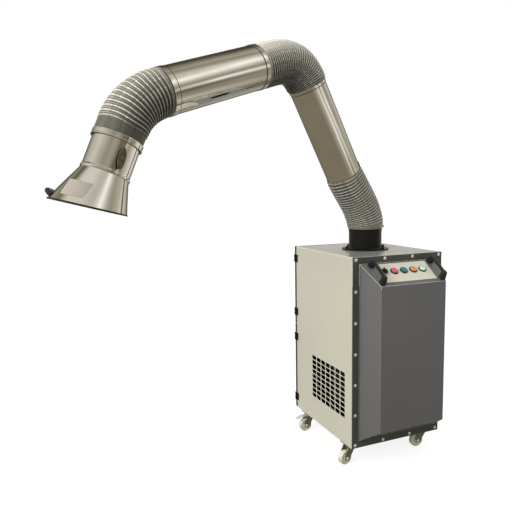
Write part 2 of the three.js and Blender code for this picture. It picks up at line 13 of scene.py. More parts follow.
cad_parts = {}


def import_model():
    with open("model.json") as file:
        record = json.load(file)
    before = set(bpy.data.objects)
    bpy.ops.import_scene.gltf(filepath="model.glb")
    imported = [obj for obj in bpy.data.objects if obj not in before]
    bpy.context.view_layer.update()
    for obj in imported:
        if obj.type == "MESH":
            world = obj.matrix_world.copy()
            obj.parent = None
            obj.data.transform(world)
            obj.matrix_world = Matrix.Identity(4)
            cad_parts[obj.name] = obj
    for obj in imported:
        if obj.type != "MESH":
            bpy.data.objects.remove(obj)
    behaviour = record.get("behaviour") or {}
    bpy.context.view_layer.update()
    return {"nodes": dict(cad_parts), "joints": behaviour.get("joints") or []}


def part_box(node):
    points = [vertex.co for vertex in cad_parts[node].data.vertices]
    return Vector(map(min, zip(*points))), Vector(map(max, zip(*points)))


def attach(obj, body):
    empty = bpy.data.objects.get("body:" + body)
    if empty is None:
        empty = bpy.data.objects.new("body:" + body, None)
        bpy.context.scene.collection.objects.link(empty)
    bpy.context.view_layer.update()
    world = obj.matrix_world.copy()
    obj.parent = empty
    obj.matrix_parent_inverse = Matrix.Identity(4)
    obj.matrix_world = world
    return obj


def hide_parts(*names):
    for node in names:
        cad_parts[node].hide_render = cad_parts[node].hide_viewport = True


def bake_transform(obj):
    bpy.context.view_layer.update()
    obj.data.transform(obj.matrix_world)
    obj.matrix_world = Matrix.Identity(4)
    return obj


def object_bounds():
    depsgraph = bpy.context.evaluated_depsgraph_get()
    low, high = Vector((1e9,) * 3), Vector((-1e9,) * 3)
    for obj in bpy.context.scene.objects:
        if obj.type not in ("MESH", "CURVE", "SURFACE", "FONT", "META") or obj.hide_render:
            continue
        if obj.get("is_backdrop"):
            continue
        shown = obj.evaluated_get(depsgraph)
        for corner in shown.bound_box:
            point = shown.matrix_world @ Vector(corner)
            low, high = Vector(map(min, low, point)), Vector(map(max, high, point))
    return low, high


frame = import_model()

METRE = 1000.0
JOINTS = {joint["name"]: joint for joint in frame["joints"]}
X_AXIS, Y_AXIS, Z_AXIS = Vector((1, 0, 0)), Vector((0, 1, 0)), Vector((0, 0, 1))


def box(node):
    """The lowest and highest corners of a CAD node, in millimetres."""
    return [Vector(corner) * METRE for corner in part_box(node)]


def pivot(joint):
    return Vector(JOINTS[joint]["pos_m"]) * METRE


def axis_of(joint):
    return Vector(JOINTS[joint]["axis"]).normalized()


def frame_at(origin, z_axis, y_axis):
    """The placement whose origin, +Z and (nearly) +Y are given."""
    z = Vector(z_axis).normalized()
    x = Vector(y_axis).cross(z).normalized()
    columns = Matrix((x, z.cross(x), z)).transposed().to_4x4()
    return Matrix.Translation(Vector(origin)) @ columns


def linked(name, data):
    """A new object in the scene."""
    made = bpy.data.objects.new(name, data)
    bpy.context.scene.collection.objects.link(made)
    return made


# ------------------------------------------------------------------ materials
class Nodes:
    """Fills a node tree. An input is named by its label with _ for spaces, or by _ and its number."""

    def __init__(self, tree):
        self.tree = tree

    def feed(self, node, **inputs):
        for key, value in inputs.items():
            socket = node.inputs[int(key[1:]) if key[1:].isdigit() else key.replace("_", " ")]
            if isinstance(value, bpy.types.NodeSocket):
                self.tree.links.new(value, socket)
            else:
                socket.default_value = value

    def node(self, kind, settings=None, **inputs):
        made = self.tree.nodes.new("ShaderNode" + kind)
        for key, value in (settings or {}).items():
            setattr(made, key, value)
        self.feed(made, **inputs)
        return made

    def span(self, value, low, high, out_low=0.0, out_high=1.0):
        bounds = {"From_Min": low, "From_Max": high, "To_Min": out_low, "To_Max": out_high}
        return self.node("MapRange", Value=value, **bounds).outputs["Result"]

    def math(self, operation, a, b=0.0):
        return self.node("Math", {"operation": operation}, _0=a, _1=b).outputs[0]

    def mix(self, share, a, b):
        return self.node("Mix", {"data_type": "RGBA"}, _0=share, _6=a, _7=b).outputs[2]

    def axes(self, vector):
        return self.node("SeparateXYZ", Vector=vector).outputs


class Shader(Nodes):
    """A principled material whose inputs are fed by small procedural node groups."""

    def __init__(self, name, **inputs):
        self.material = bpy.data.materials.new(name)
        self.material.use_nodes = True
        super().__init__(self.material.node_tree)
        self.space = self.node("TexCoord").outputs["Object"]
        self.set(**inputs)

    def set(self, **inputs):
        self.feed(self.tree.nodes["Principled BSDF"], **inputs)

    def noise(self, scale, detail, stretch=(1, 1, 1)):
        space = self.node("Mapping", Vector=self.space, Scale=stretch).outputs["Vector"]
        return self.node("TexNoise", Vector=space, Scale=scale, Detail=detail).outputs["Fac"]

    def cloud(self, scale, detail, low=0.0, high=1.0, stretch=(1, 1, 1)):
        """Soft patches of noise that reach from low to high."""
        return self.span(self.noise(scale, detail, stretch), 0.3, 0.7, low, high)

    def cells(self, scale):
        return self.node("TexVoronoi", Vector=self.space, Scale=scale).outputs

    def grey(self, color):
        return self.node("RGBToBW", Color=color).outputs[0]

    def attribute(self, name, output="Fac"):
        return self.node("Attribute", {"attribute_name": name}).outputs[output]

    def edges(self, radius):
        """1 on edges and 0 on flat faces, from the angle between the bevelled and true normals."""
        round_normal = self.node("Bevel", {"samples": 4}, Radius=radius).outputs["Normal"]
        true_normal = self.node("NewGeometry").outputs["Normal"]
        dot = self.node("VectorMath", {"operation": "DOT_PRODUCT"}, _0=round_normal, _1=true_normal)
        return self.span(dot.outputs["Value"], 0.995, 0.9)

    def finish(self, color, roughness, height, strength, distance):
        """The material with its colour and roughness set, and bumps of the given height map."""
        bump = self.node("Bump", Height=height, Strength=strength, Distance=distance).outputs["Normal"]
        self.set(Base_Color=color, Roughness=roughness, Normal=bump)
        return self.material


def rgb(red, green, blue):
    """A linear colour from 8-bit display values."""
    linear = [c / 12.92 if c <= 0.04045 else ((c + 0.055) / 1.055) ** 2.4 for c in
              (red / 255, green / 255, blue / 255)]
    return (*linear, 1.0)


def shaded(color, factor):
    return (color[0] * factor, color[1] * factor, color[2] * factor, 1.0)


def painted(name, color, roughness, worn=1.35, coat=0.25, peel=0.25, grime=0.06, gloss=0.5, ceiling=None):
    """Powder coat: faint mottling, orange peel and slightly lighter, worn edges.

    ceiling is the colour of the faces that look straight up: painted shade, which makes the top read darker
    and cooler than the sides."""
    shader = Shader(name, Coat_Weight=coat, Coat_Roughness=0.12, Specular_IOR_Level=gloss)
    base = shader.mix(shader.cloud(3.5, 5), shaded(color, 0.97), shaded(color, 1.02))
    base = shader.mix(shader.span(shader.noise(38, 6), 0.6, 0.85, 0.0, grime), base, shaded(color, 0.75))
    # Painted shade: the faces that look straight up take the darker, cooler ceiling colour.
    if ceiling:
        up = shader.axes(shader.node("TexCoord").outputs["Normal"])["Z"]
        base = shader.mix(shader.span(up, 0.9, 0.98), base, ceiling)
    chips = shader.span(shader.noise(90, 4), 0.35, 0.65, 0.25, 1.0)
    base = shader.mix(shader.math("MULTIPLY", shader.edges(0.0018), chips), base, shaded(color, worn))
    rough = shader.cloud(55, 4, roughness - 0.05, roughness + 0.07)
    return shader.finish(base, rough, shader.noise(900, 2), peel, 0.0002)


def cover_paint():
    """The pressed cover: mid grey, with its screw flange in a darker, olive grey, painted shade that darkens
    it towards the bottom, and lighter edges: rubbed paint, with a painted highlight strongest from the slope
    up.
    """
    color = rgb(106, 106, 107)
    flange_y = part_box("front_cover")[1].y - 0.004
    slope_z = 0.62
    shader = Shader("cover_grey_paint", Coat_Weight=0.12, Coat_Roughness=0.2)
    place = shader.axes(shader.space)
    base = shader.mix(shader.cloud(4, 5), shaded(color, 0.96), shaded(color, 1.03))
    base = shader.mix(shader.span(place["Y"], flange_y - 0.005, flange_y - 0.001), base, rgb(70, 72, 66))
    # Painted shade: darker towards the bottom of the cover.
    base = shader.mix(shader.span(place["Z"], 0.0, slope_z, 0.16, 0.0), base, shaded(color, 0.45))
    # Painted highlight on the edges from the slope up, over a faint lighter rub of the paint on the lower
    # edges.
    edge_rub_and_highlight = shader.span(place["Z"], slope_z - 0.008, slope_z + 0.002, 0.25, 3.2)
    base = shader.mix(shader.math("MULTIPLY", shader.edges(0.002), edge_rub_and_highlight), base, rgb(246, 246, 244))
    return shader.finish(base, shader.cloud(60, 4, 0.36, 0.47), shader.noise(800, 2), 0.3, 0.0002)


def stainless():
    """Mirror-rolled sheet: long grain marks, light smudges, a warm tint and dark grazing edges."""
    shader = Shader("polished_stainless_sheet", Metallic=1.0, Specular_Tint=(0.16, 0.155, 0.14, 1.0))
    grain = shader.noise(240, 3, (1, 1, 0.02))
    smudge = shader.noise(14, 5)
    tint = shader.mix(shader.span(smudge, 0.3, 0.7), rgb(231, 229, 224), rgb(242, 241, 238))
    smears = shader.span(smudge, 0.5, 0.8, 0.0, 0.04)
    rough = shader.math("ADD", shader.span(grain, 0.3, 0.7, 0.015, 0.045), smears)
    return shader.finish(tint, rough, grain, 0.05, 0.0003)


def bright_steel(name="bright_zinc_steel", metal=0.9, light=rgb(226, 226, 220), dark=rgb(198, 200, 198)):
    shader = Shader(name, Metallic=metal)
    base = shader.mix(shader.span(shader.cells(160)["Distance"], 0.0, 0.6), light, dark)
    return shader.finish(base, shader.cloud(300, 3, 0.2, 0.34), shader.noise(500, 3), 0.08, 0.0002)


def galvanised():
    shader = Shader("galvanised_sheet", Metallic=0.9)
    base = shader.mix(shader.grey(shader.cells(70)["Color"]), rgb(128, 132, 133), rgb(172, 175, 174))
    return shader.finish(base, shader.cloud(120, 4, 0.34, 0.52), shader.noise(400, 3), 0.12, 0.0003)


def olive_steel(name="olive_passivated_steel", dark=rgb(84, 82, 68), light=rgb(122, 119, 102)):
    shader = Shader(name, Metallic=0.85)
    base = shader.mix(shader.edges(0.001), shader.mix(shader.cloud(60, 5), dark, light), rgb(186, 184, 170))
    return shader.finish(base, shader.cloud(200, 4, 0.3, 0.48), shader.noise(600, 3), 0.15, 0.0003)


def moulded(name, color, roughness=0.42):
    """Moulded plastic: fine spark-eroded texture, faint flow marks and softly rubbed edges."""
    shader = Shader(name)
    base = shader.mix(shader.cloud(16, 4, stretch=(1, 1, 0.3)), shaded(color, 0.92), shaded(color, 1.08))
    base = shader.mix(shader.math("MULTIPLY", shader.edges(0.0012), 0.4), base, shaded(color, 1.6))
    rough = shader.cloud(120, 4, roughness - 0.06, roughness + 0.08)
    return shader.finish(base, rough, shader.noise(1500, 2), 0.25, 0.00015)


def nylon():
    shader = Shader("cream_nylon", Coat_Weight=0.15, Coat_Roughness=0.2)
    dust = shader.span(shader.noise(45, 6), 0.45, 0.75, 0.0, 0.5)
    base = shader.mix(dust, rgb(226, 225, 203), rgb(182, 178, 150))
    return shader.finish(base, shader.cloud(150, 4, 0.32, 0.5), shader.noise(900, 3), 0.15, 0.0002)


def rubber():
    shader = Shader("black_rubber")
    base = shader.mix(shader.cloud(50, 5), rgb(22, 22, 22), rgb(40, 39, 37))
    return shader.finish(base, 0.62, shader.noise(1100, 3), 0.4, 0.0002)


def hose_cloth():
    """Coated woven hose cloth. "rib" on each vertex is 1 on the wire's crest and 0 in the valley, and the
    second vertex attribute is a lightness from 0 to 1: the cuffs' own lightness, and painted light and shade
    round the ribbed part."""
    shader = Shader("coated_hose_cloth", Sheen_Weight=0.1, Sheen_Roughness=0.5)
    rib, cloth_lightness_and_shade, across = shader.attribute("rib"), shader.attribute("cloth_lightness_and_shade"), shader.attribute("weave", "Vector")
    threads = []
    for side in "XY":
        bands = {"wave_type": "BANDS", "bands_direction": side, "wave_profile": "SIN"}
        wave = shader.node("TexWave", bands, Vector=across, Scale=1.0, Distortion=0.25, Detail=1.0)
        threads.append(wave.outputs["Fac"])
    weave = shader.math("MAXIMUM", *threads)
    pulled = shader.node("Mapping", Vector=across, Scale=(1.1, 0.05, 1.0)).outputs[0]
    gathers = shader.node("TexNoise", Vector=pulled, Scale=1.0, Detail=3.0).outputs[0]
    # Painted shade: the valley colours darken the folds between the ribs, and the lightness attribute paints
    # light and shade round the hose.
    valley = shader.mix(cloth_lightness_and_shade, rgb(14, 14, 12), rgb(150, 147, 132))
    slope = shader.mix(cloth_lightness_and_shade, rgb(72, 71, 62), rgb(214, 211, 196))
    crest = shader.mix(cloth_lightness_and_shade, rgb(232, 230, 218), rgb(246, 244, 232))
    base = shader.mix(shader.span(rib, 0.0, 0.5), valley, slope)
    base = shader.mix(shader.span(rib, 0.55, 0.95), base, crest)
    base = shader.mix(shader.span(gathers, 0.42, 0.62, 0.42, 0.0), base, valley)
    base = shader.mix(shader.math("MULTIPLY", shader.cloud(22, 5), 0.18), base, valley)
    base = shader.mix(shader.span(weave, 0.0, 1.0, 0.22, 0.0), base, rgb(58, 58, 50))
    return shader.finish(base, shader.span(weave, 0.0, 1.0, 0.66, 0.5), weave, 0.3, 0.0005)


def lens(name, color, glow):
    """Tinted lens plastic: darker towards the rim, with a fine moulded ring pattern. glow is the lens's
    emission strength; on the push-button caps, which are no lamps, it is painted light.
    """
    shader = Shader(name, Coat_Weight=0.6, Coat_Roughness=0.05, Transmission_Weight=0.12,
                    Emission_Color=color, Emission_Strength=glow)
    facing = shader.node("LayerWeight", Blend=0.35).outputs["Facing"]
    swirl = shader.span(shader.noise(140, 3), 0.35, 0.65)
    core = shader.mix(swirl, shaded(color, 0.9), shaded(color, 1.25))
    base = shader.mix(facing, core, shaded(color, 0.35))
    return shader.finish(base, shader.cloud(80, 3, 0.16, 0.28), shader.noise(420, 2), 0.12, 0.0003)


def filter_paper():
    shader = Shader("pleated_filter_paper", Sheen_Weight=0.2)
    fibre = shader.noise(420, 6, (1, 0.25, 1))
    base = shader.mix(shader.span(fibre, 0.3, 0.7), rgb(205, 200, 184), rgb(236, 233, 222))
    return shader.finish(base, 0.9, fibre, 0.5, 0.0004)


def carbon_media():
    shader = Shader("carbon_granules")
    grains = shader.cells(330)
    grey = shader.grey(grains["Color"])
    base = shader.mix(grey, rgb(20, 20, 20), rgb(62, 62, 60))
    return shader.finish(base, shader.span(grey, 0, 1, 0.45, 0.85), grains["Distance"], 0.7, 0.001)


def sticker_film():
    shader = Shader("blank_sticker_film", Coat_Weight=0.1)
    base = shader.mix(shader.cloud(9, 4), rgb(138, 131, 121), rgb(152, 146, 136))
    return shader.finish(base, shader.cloud(200, 4, 0.4, 0.52), shader.noise(700, 3), 0.08, 0.0001)


# Each look is a material and the record's slot that it belongs to.
LOOK = {
    # The beige's ceiling colour is painted shade on the faces that look up.
    "beige": (painted("beige_powder_coat", rgb(208, 207, 189), 0.34, worn=1.1, coat=0.35, peel=0.1,
                      grime=0.03, ceiling=rgb(145, 146, 141)), "beige_paint"),
    "cover": (cover_paint(), "grey_paint"),
    "door": (painted("door_dark_grey_paint", rgb(50, 50, 49), 0.42), "grey_paint"),
    "black": (painted("black_satin_paint", rgb(24, 24, 20), 0.36, worn=2.2, coat=0.0, gloss=0.18),
              "black_paint"),
    "stainless": (stainless(), "polished_stainless"),
    "steel": (bright_steel(), "zinc_steel"),
    # The screw look's near-white colour is partly painted highlight: it makes the domed heads read as bright
    # dots, over their bright plating.
    "screw": (bright_steel("nickel_screw_painted_highlight", 0.55, rgb(252, 252, 249), rgb(238, 239, 237)),
              "zinc_steel"),
    "galvanised": (galvanised(), "zinc_steel"),
    "olive": (olive_steel(), "olive_steel"),
    "fork": (olive_steel("zinc_iron_fork", rgb(116, 115, 100), rgb(156, 154, 138)), "olive_steel"),
    "black_plastic": (moulded("black_moulded_plastic", rgb(30, 30, 30)), "black_plastic"),
    "grey_plastic": (moulded("grey_moulded_plastic", rgb(150, 150, 148)), "grey_plastic"),
    "white_plastic": (moulded("white_moulded_plastic", rgb(228, 228, 220), 0.35), "black_plastic"),
    "nylon": (nylon(), "cream_nylon"),
    "rubber": (rubber(), "black_rubber"),
    "hose": (hose_cloth(), "grey_hose"),
    # The emission of the red, green and orange push-button caps is painted light: they are no lamps.
    "red": (lens("red_lens_plastic", rgb(222, 92, 112), 0.10), "red_plastic"),
    "green": (lens("green_lens_plastic", rgb(22, 128, 122), 0.05), "green_plastic"),
    "orange": (lens("orange_lens_plastic", rgb(226, 146, 96), 0.10), "orange_plastic"),
    "clear": (lens("clear_lens_plastic", rgb(206, 226, 208), 0.12), "lamp_lens"),
    "paper": (filter_paper(), "filter_media"),
    "carbon": (carbon_media(), "carbon_media"),
    "sticker": (sticker_film(), "polished_stainless"),
}


# ------------------------------------------------------------------ solids
# A solid is (corners, faces): points, and tuples of their indices.
STAND_UP = Matrix(((1, 0, 0, 0), (0, 0, 1, 0), (0, 1, 0, 0), (0, 0, 0, 1)))   # Y becomes Z, and Z becomes Y


def moved(solid, matrix):
    return [matrix @ Vector(p) for p in solid[0]], solid[1]


def shifted(solid, x=0.0, y=0.0, z=0.0):
    return moved(solid, Matrix.Translation((x, y, z)))


def about_z(degrees):
    return Matrix.Rotation(math.radians(degrees), 4, "Z")


def together(*solids):
    corners, faces = [], []
    for points, polygons in solids:
        base = len(corners)
        corners += [Vector(p) for p in points]
        faces += [tuple(i + base for i in polygon) for polygon in polygons]
    return corners, faces


def rounded(points, radius, steps=4):
    """A closed 2-D outline whose corners are replaced by arcs. radius is one value or one for each corner."""
    result = []
    radii = radius if isinstance(radius, (list, tuple)) else [radius] * len(points)
    for i, (x, y) in enumerate(points):
        corner = Vector((x, y))
        before = Vector(points[i - 1]) - corner
        after = Vector(points[(i + 1) % len(points)]) - corner
        if radii[i] <= 0 or before.length < 1e-6 or after.length < 1e-6:
            result.append((x, y))
            continue
        half = before.angle(after) / 2
        reach = min(radii[i] / math.tan(half), before.length * 0.49, after.length * 0.49)
        before.normalize()
        after.normalize()
        centre = corner + (before + after).normalized() * reach / math.cos(half)
        first = corner + before * reach - centre
        turn = first.angle_signed(corner + after * reach - centre)
        for k in range(steps + 1):
            angle = -turn * k / steps
            c, s = math.cos(angle), math.sin(angle)
            result.append((centre.x + first.x * c - first.y * s, centre.y + first.x * s + first.y * c))
    return result


def ring(profile, radius=0.0, steps=3, sides=96):
    """A closed (radius, z) profile with rounded corners, turned around Z. Points on the axis become poles."""
    corners, rings = [], []
    for r, z in rounded(profile, radius, steps):
        if r < 1e-4:
            rings.append([len(corners)])
            corners.append(Vector((0, 0, z)))
            continue
        rings.append(list(range(len(corners), len(corners) + sides)))
        corners += [Vector((x, y, z)) for x, y in circle(r, sides)]
    faces = []
    for a, b in zip(rings, rings[1:] + rings[:1]):
        for k in range(sides if len(a) + len(b) > 2 else 0):
            n = (k + 1) % sides
            if len(a) == 1:
                faces.append((a[0], b[k], b[n]))
            elif len(b) == 1:
                faces.append((a[k], b[0], a[n]))
            else:
                faces.append((a[k], b[k], b[n], a[n]))
    return corners, faces


def rod(radius, z0, z1, edge=0.5, sides=32):
    """A solid round bar along Z with softened ends."""
    return ring([(0, z0), (radius, z0), (radius, z1), (0, z1)], [0, edge, edge, 0], 2, sides)


def tube(outer, inner, z0, z1, edge=0.4, sides=96):
    return ring([(outer, z0), (outer, z1), (inner, z1), (inner, z0)], edge, 2, sides)


def solid_of(bm):
    bm.verts.index_update()
    solid = [v.co.copy() for v in bm.verts], [tuple(v.index for v in f.verts) for f in bm.faces]
    bm.free()
    return solid


def mesh_of(solid):
    bm = bmesh.new()
    corners = [bm.verts.new(p) for p in solid[0]]
    for polygon in solid[1]:
        loop = [corners[i] for i in polygon]
        if bm.faces.get(loop) is None:
            bm.faces.new(loop)
    bmesh.ops.recalc_face_normals(bm, faces=bm.faces)
    return bm


def bevelled(solid, width, segments=2, sharper=30):
    """The solid with every edge sharper than the given angle, in degrees, rounded off."""
    bm = mesh_of(solid)
    edges = [e for e in bm.edges if len(e.link_faces) == 2 and e.calc_face_angle(0) > math.radians(sharper)]
    bmesh.ops.bevel(bm, geom=edges, offset=width, segments=segments, profile=0.5, affect="EDGES",
                    clamp_overlap=True)
    return solid_of(bm)


def prism(outline, z0, z1, bevel=0.0, segments=2, sharper=50):
    """A 2-D outline given height along Z, with both rims rounded off."""
    count = len(outline)
    corners = [Vector((x, y, z)) for z in (z0, z1) for x, y in outline]
    faces = [tuple(range(count)), tuple(range(count, 2 * count))]
    faces += [(i, (i + 1) % count, (i + 1) % count + count, i + count) for i in range(count)]
    return bevelled((corners, faces), bevel, segments, sharper) if bevel else (corners, faces)


def block(x0, x1, y0, y1, z0, z1, bevel=0.0, segments=2):
    return prism([(x0, y0), (x1, y0), (x1, y1), (x0, y1)], z0, z1, bevel, segments, 30)


def blade(low, high, long):
    """The outline of a flat grip: its half widths at the low and the high end, and its half length."""
    return [(-low, -long), (low, -long), (high, long), (-high, long)]


def sweep(path, section, up):
    """A closed 2-D section carried along a list of points; `up` is the section's Y at the start."""
    corners, side = [], None
    count, n = len(path), len(section)
    for i, point in enumerate(path):
        ahead = (path[min(i + 1, count - 1)] - path[max(i - 1, 0)]).normalized()
        side = up.cross(ahead).normalized() if side is None else (side - ahead * side.dot(ahead)).normalized()
        top = ahead.cross(side)
        corners += [point + side * x + top * y for x, y in section]
    faces = [tuple(range(n)), tuple(range((count - 1) * n, count * n))]
    for i in range(count - 1):
        faces += [(i * n + k, i * n + (k + 1) % n, (i + 1) * n + (k + 1) % n, (i + 1) * n + k)
                  for k in range(n)]
    return corners, faces


def circle(radius, sides=16, squeeze=1.0):
    turns = [2 * math.pi * k / sides for k in range(sides)]
    return [(radius * math.cos(t), radius * squeeze * math.sin(t)) for t in turns]


def hexagon(across_flats):
    return circle(across_flats / math.sqrt(3), 6)


def object_of(name, solid):
    bm = mesh_of(solid)
    mesh = bpy.data.meshes.new(name)
    bm.to_mesh(mesh)
    bm.free()
    return linked(name, mesh)


def final_solid(made):
    """The solid that an object's modifiers make. The object is deleted."""
    mesh = made.evaluated_get(bpy.context.evaluated_depsgraph_get()).to_mesh()
    solid = [v.co.copy() for v in mesh.vertices], [tuple(p.vertices) for p in mesh.polygons]
    bpy.data.objects.remove(made)
    return solid


def carved(solid, *tools, operation="DIFFERENCE"):
    """The solid after a boolean with each tool in turn."""
    work = object_of("carving", solid)
    cutters = [object_of("cutter", tool) for tool in tools]
    for cutter in cutters:
        modifier = work.modifiers.new("cut", "BOOLEAN")
        modifier.object = cutter
        modifier.operation = operation
        modifier.solver = "EXACT"
    result = final_solid(work)
    for cutter in cutters:
        bpy.data.objects.remove(cutter)
    return result


def fused(*solids):
    return carved(solids[0], *solids[1:], operation="UNION")


def piece(name, solid, look, body, node="", place=Matrix.Identity(4), sharp=32):
    """One visible piece, with the body it rides on and the CAD node it stands for."""
    made = object_of(name, moved(solid, Matrix.Scale(1 / METRE, 4) @ place))
    material, own_slot = LOOK[look]
    made.data.shade_smooth()
    made.data.set_sharp_from_angle(angle=math.radians(sharp))
    made.data.materials.append(material)
    flat = made.modifiers.new("face_normals", "WEIGHTED_NORMAL")
    flat.keep_sharp = True
    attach(made, body)
    if node:
        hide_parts(node)


# ------------------------------------------------------------------ fasteners
def pan_screw(radius=4.7, height=3.2):
    """A pan-head screw with its washer and a cross recess, standing along +Z."""
    turns = [math.radians(15 * k) for k in range(6)]
    dome = [(radius * math.cos(t), max(0.4, (radius * math.sin(t) - 1.2) * height / radius)) for t in turns]
    head = ring([(0, -0.2), (radius, -0.2), *dome, (0, height * 0.79)], sides=28)
    slot = block(-2.3, 2.3, -0.45, 0.45, height * 0.4, height * 2)
    cross = carved(head, slot, moved(slot, about_z(90)))
    return together(shifted(cross, z=0.6), tube(6.3, 2.0, -0.2, 0.7, 0.2, 32))


def hex_bolt(flats=13, height=5.4, washer=8.2):
    head = prism(hexagon(flats), 1.2, height, 0.5, 2, 30)
    low, high = height - 0.3, height + 0.5
    boss = ring([(0, low), (flats * 0.38, low), (flats * 0.36, high), (0, high)], [0, 0, 0.2, 0], 2, 24)
    return together(head, boss, rod(washer, 0, 1.4, 0.3, 32))


def worm_clamp(radius, width, turn):
    """A hose clamp around Z: its band, and its screw housing with a hex screw at angle `turn`."""
    band = tube(radius + 0.8, radius, -width / 2, width / 2, 0.3, 120)
    inner = radius + 0.1
    housing = fused(block(inner, inner + 6.2, -7, 7, -width * 0.62, width * 0.62, 1.0),
                    block(inner, inner + 2.8, -12, 12, -width * 0.4, width * 0.4, 0.6))
    screw = together(rod(3.0, -11, 11, 0.3, 20), prism(hexagon(7), 11, 15.5, 0.4, 2, 30))
    lying = Matrix.Translation((radius + 3.2, 0, 0)) @ Matrix.Rotation(-math.pi / 2, 4, "X")
    return band, moved(together(housing, moved(screw, lying)), about_z(turn))


# ------------------------------------------------------------------ cabinet
SHELL_LOW, SHELL_HIGH = box("cabinet_shell")
COVER_LOW, COVER_HIGH = box("front_cover")
WALL = 2
TOP = SHELL_HIGH.z
HALF = SHELL_HIGH.x
FRONT = COVER_HIGH.y - 2.7          # the outer face of the screw flange
VENT_COLUMNS, VENT_ROWS = 7, 9
VENT_FIRST = (70.5, 269.5)          # y and z of the grid's rear top hole
VENT_PITCH = (38.4, 20)
VENT_WIDTH, VENT_HEIGHT, VENT_CORNER = 34.4, 16.8, 4.6


def vent_tool(column, row):
    """A punch for one vent: a straight oblong that flares at the outside of the left wall."""
    outline = rounded(blade(VENT_WIDTH / 2, VENT_WIDTH / 2, VENT_HEIGHT / 2), VENT_CORNER, 3)
    count = len(outline)
    corners, faces = [], [tuple(range(count)), tuple(range(3 * count, 4 * count))]
    for depth, grow in ((-1, 1.07), (0, 1.05), (0.6, 1.0), (8, 1.0)):
        corners += [Vector((depth, y * grow, z * grow)) for y, z in outline]
    for base in (0, count, 2 * count):
        faces += [(base + i, base + (i + 1) % count, base + count + (i + 1) % count, base + count + i)
                  for i in range(count)]
    y, z = VENT_FIRST[0] - VENT_PITCH[0] * column, VENT_FIRST[1] - VENT_PITCH[1] * row
    return shifted((corners, faces), SHELL_LOW.x, y, z)


def cabinet_shell():
    """One folded sheet: left side, top and right side, with lips at the back."""
    bend = 4.5
    low, back = SHELL_LOW.z, SHELL_HIGH.y
    outline = [(-HALF, low), (-HALF, TOP), (HALF, TOP), (HALF, low),
               (HALF - WALL, low), (HALF - WALL, TOP - WALL), (WALL - HALF, TOP - WALL), (WALL - HALF, low)]
    profile = rounded(outline, [0, bend, bend, 0, 0, bend - WALL, bend - WALL, 0], 6)
    sheet = moved(prism(profile, SHELL_LOW.y, back), STAND_UP)
    lips = [block(*ends, back - WALL, back, 24, TOP - WALL / 2)
            for ends in ((WALL / 2 - HALF, 16 - HALF), (HALF - 16, HALF - WALL / 2))]
    vents = [vent_tool(column, row) for column in range(VENT_COLUMNS) for row in range(VENT_ROWS)]
    inlet = rod(62, TOP - 10, TOP + 10, 0, 96)
    body = carved(carved(sheet, *lips, operation="UNION"), together(*vents), inlet)
    piece("cabinet_body", body, "beige", "cabinet", "cabinet_shell")


def front_cover():
    """A pressed cover: a flat screw flange round a raised, tapered box, with rounded press lines."""
    outlines = [((-HALF, SHELL_LOW.z, HALF, TOP), FRONT), ((-172, 26, 172, 694), FRONT),
                ((-142, 90, 142, 624), COVER_LOW.y)]
    bm = bmesh.new()
    rings = [[bm.verts.new((x, y, z)) for x, z in ((x0, z0), (x1, z0), (x1, z1), (x0, z1))]
             for (x0, z0, x1, z1), y in outlines]
    for outer, inner in zip(rings, rings[1:]):
        for i in range(4):
            bm.faces.new((outer[i], outer[(i + 1) % 4], inner[(i + 1) % 4], inner[i]))
    bm.faces.new(rings[2])
    presses = [e for e in bm.edges if len(e.link_faces) == 2 and e.calc_face_angle(0) > math.radians(15)]
    bmesh.ops.bevel(bm, geom=presses, offset=3.0, segments=4, profile=0.5, affect="EDGES")
    bmesh.ops.recalc_face_normals(bm, faces=bm.faces)
    if sum(f.normal.y * f.calc_area() for f in bm.faces) > 0:
        bmesh.ops.reverse_faces(bm, faces=bm.faces)
    sheet = linked("cover_sheet", bpy.data.meshes.new("cover_sheet"))
    bm.to_mesh(sheet.data)
    bm.free()
    thick = sheet.modifiers.new("thickness", "SOLIDIFY")
    thick.thickness = WALL
    thick.offset = -1
    bores = [moved(rod(12.8, -9, 9, 0, 24), control_place(k)) for k in range(len(CONTROLS))]
    solid = carved(final_solid(sheet), *bores)
    piece("front_cover_pressing", solid, "cover", "cabinet", "front_cover", sharp=24)


SLOPE_OUT = axis_of("selector_turn")
SLOPE = frame_at((0, FRONT, COVER_HIGH.z - 26), SLOPE_OUT, SLOPE_OUT.cross(X_AXIS))
CONTROLS = ("selector", "stop", "start", "purge", "lamp")
CONTROL_X = [-94 + 42 * k for k in range(len(CONTROLS))]
CONTROL_DOWN = 52
CAP_RADIUS = 12.2


def control_place(k):
    return SLOPE @ Matrix.Translation((CONTROL_X[k], -CONTROL_DOWN, 0))


def cover_screws():
    """Rows of pan-head screws: seven down each side, and four along the top and the bottom."""
    xs = (-186, -62, 62, 186)
    zs = [11 + 116.5 * k for k in range(7)]
    spots = [(x, z) for x in (xs[0], xs[3]) for z in zs] + [(x, z) for x in xs[1:3] for z in (zs[0], zs[6])]
    screw = pan_screw()
    heads = [moved(screw, frame_at((x, FRONT, z), -Y_AXIS, Z_AXIS) @ about_z(37 * i))
             for i, (x, z) in enumerate(spots)]
    piece("front_cover_screws", together(*heads), "screw", "cabinet")


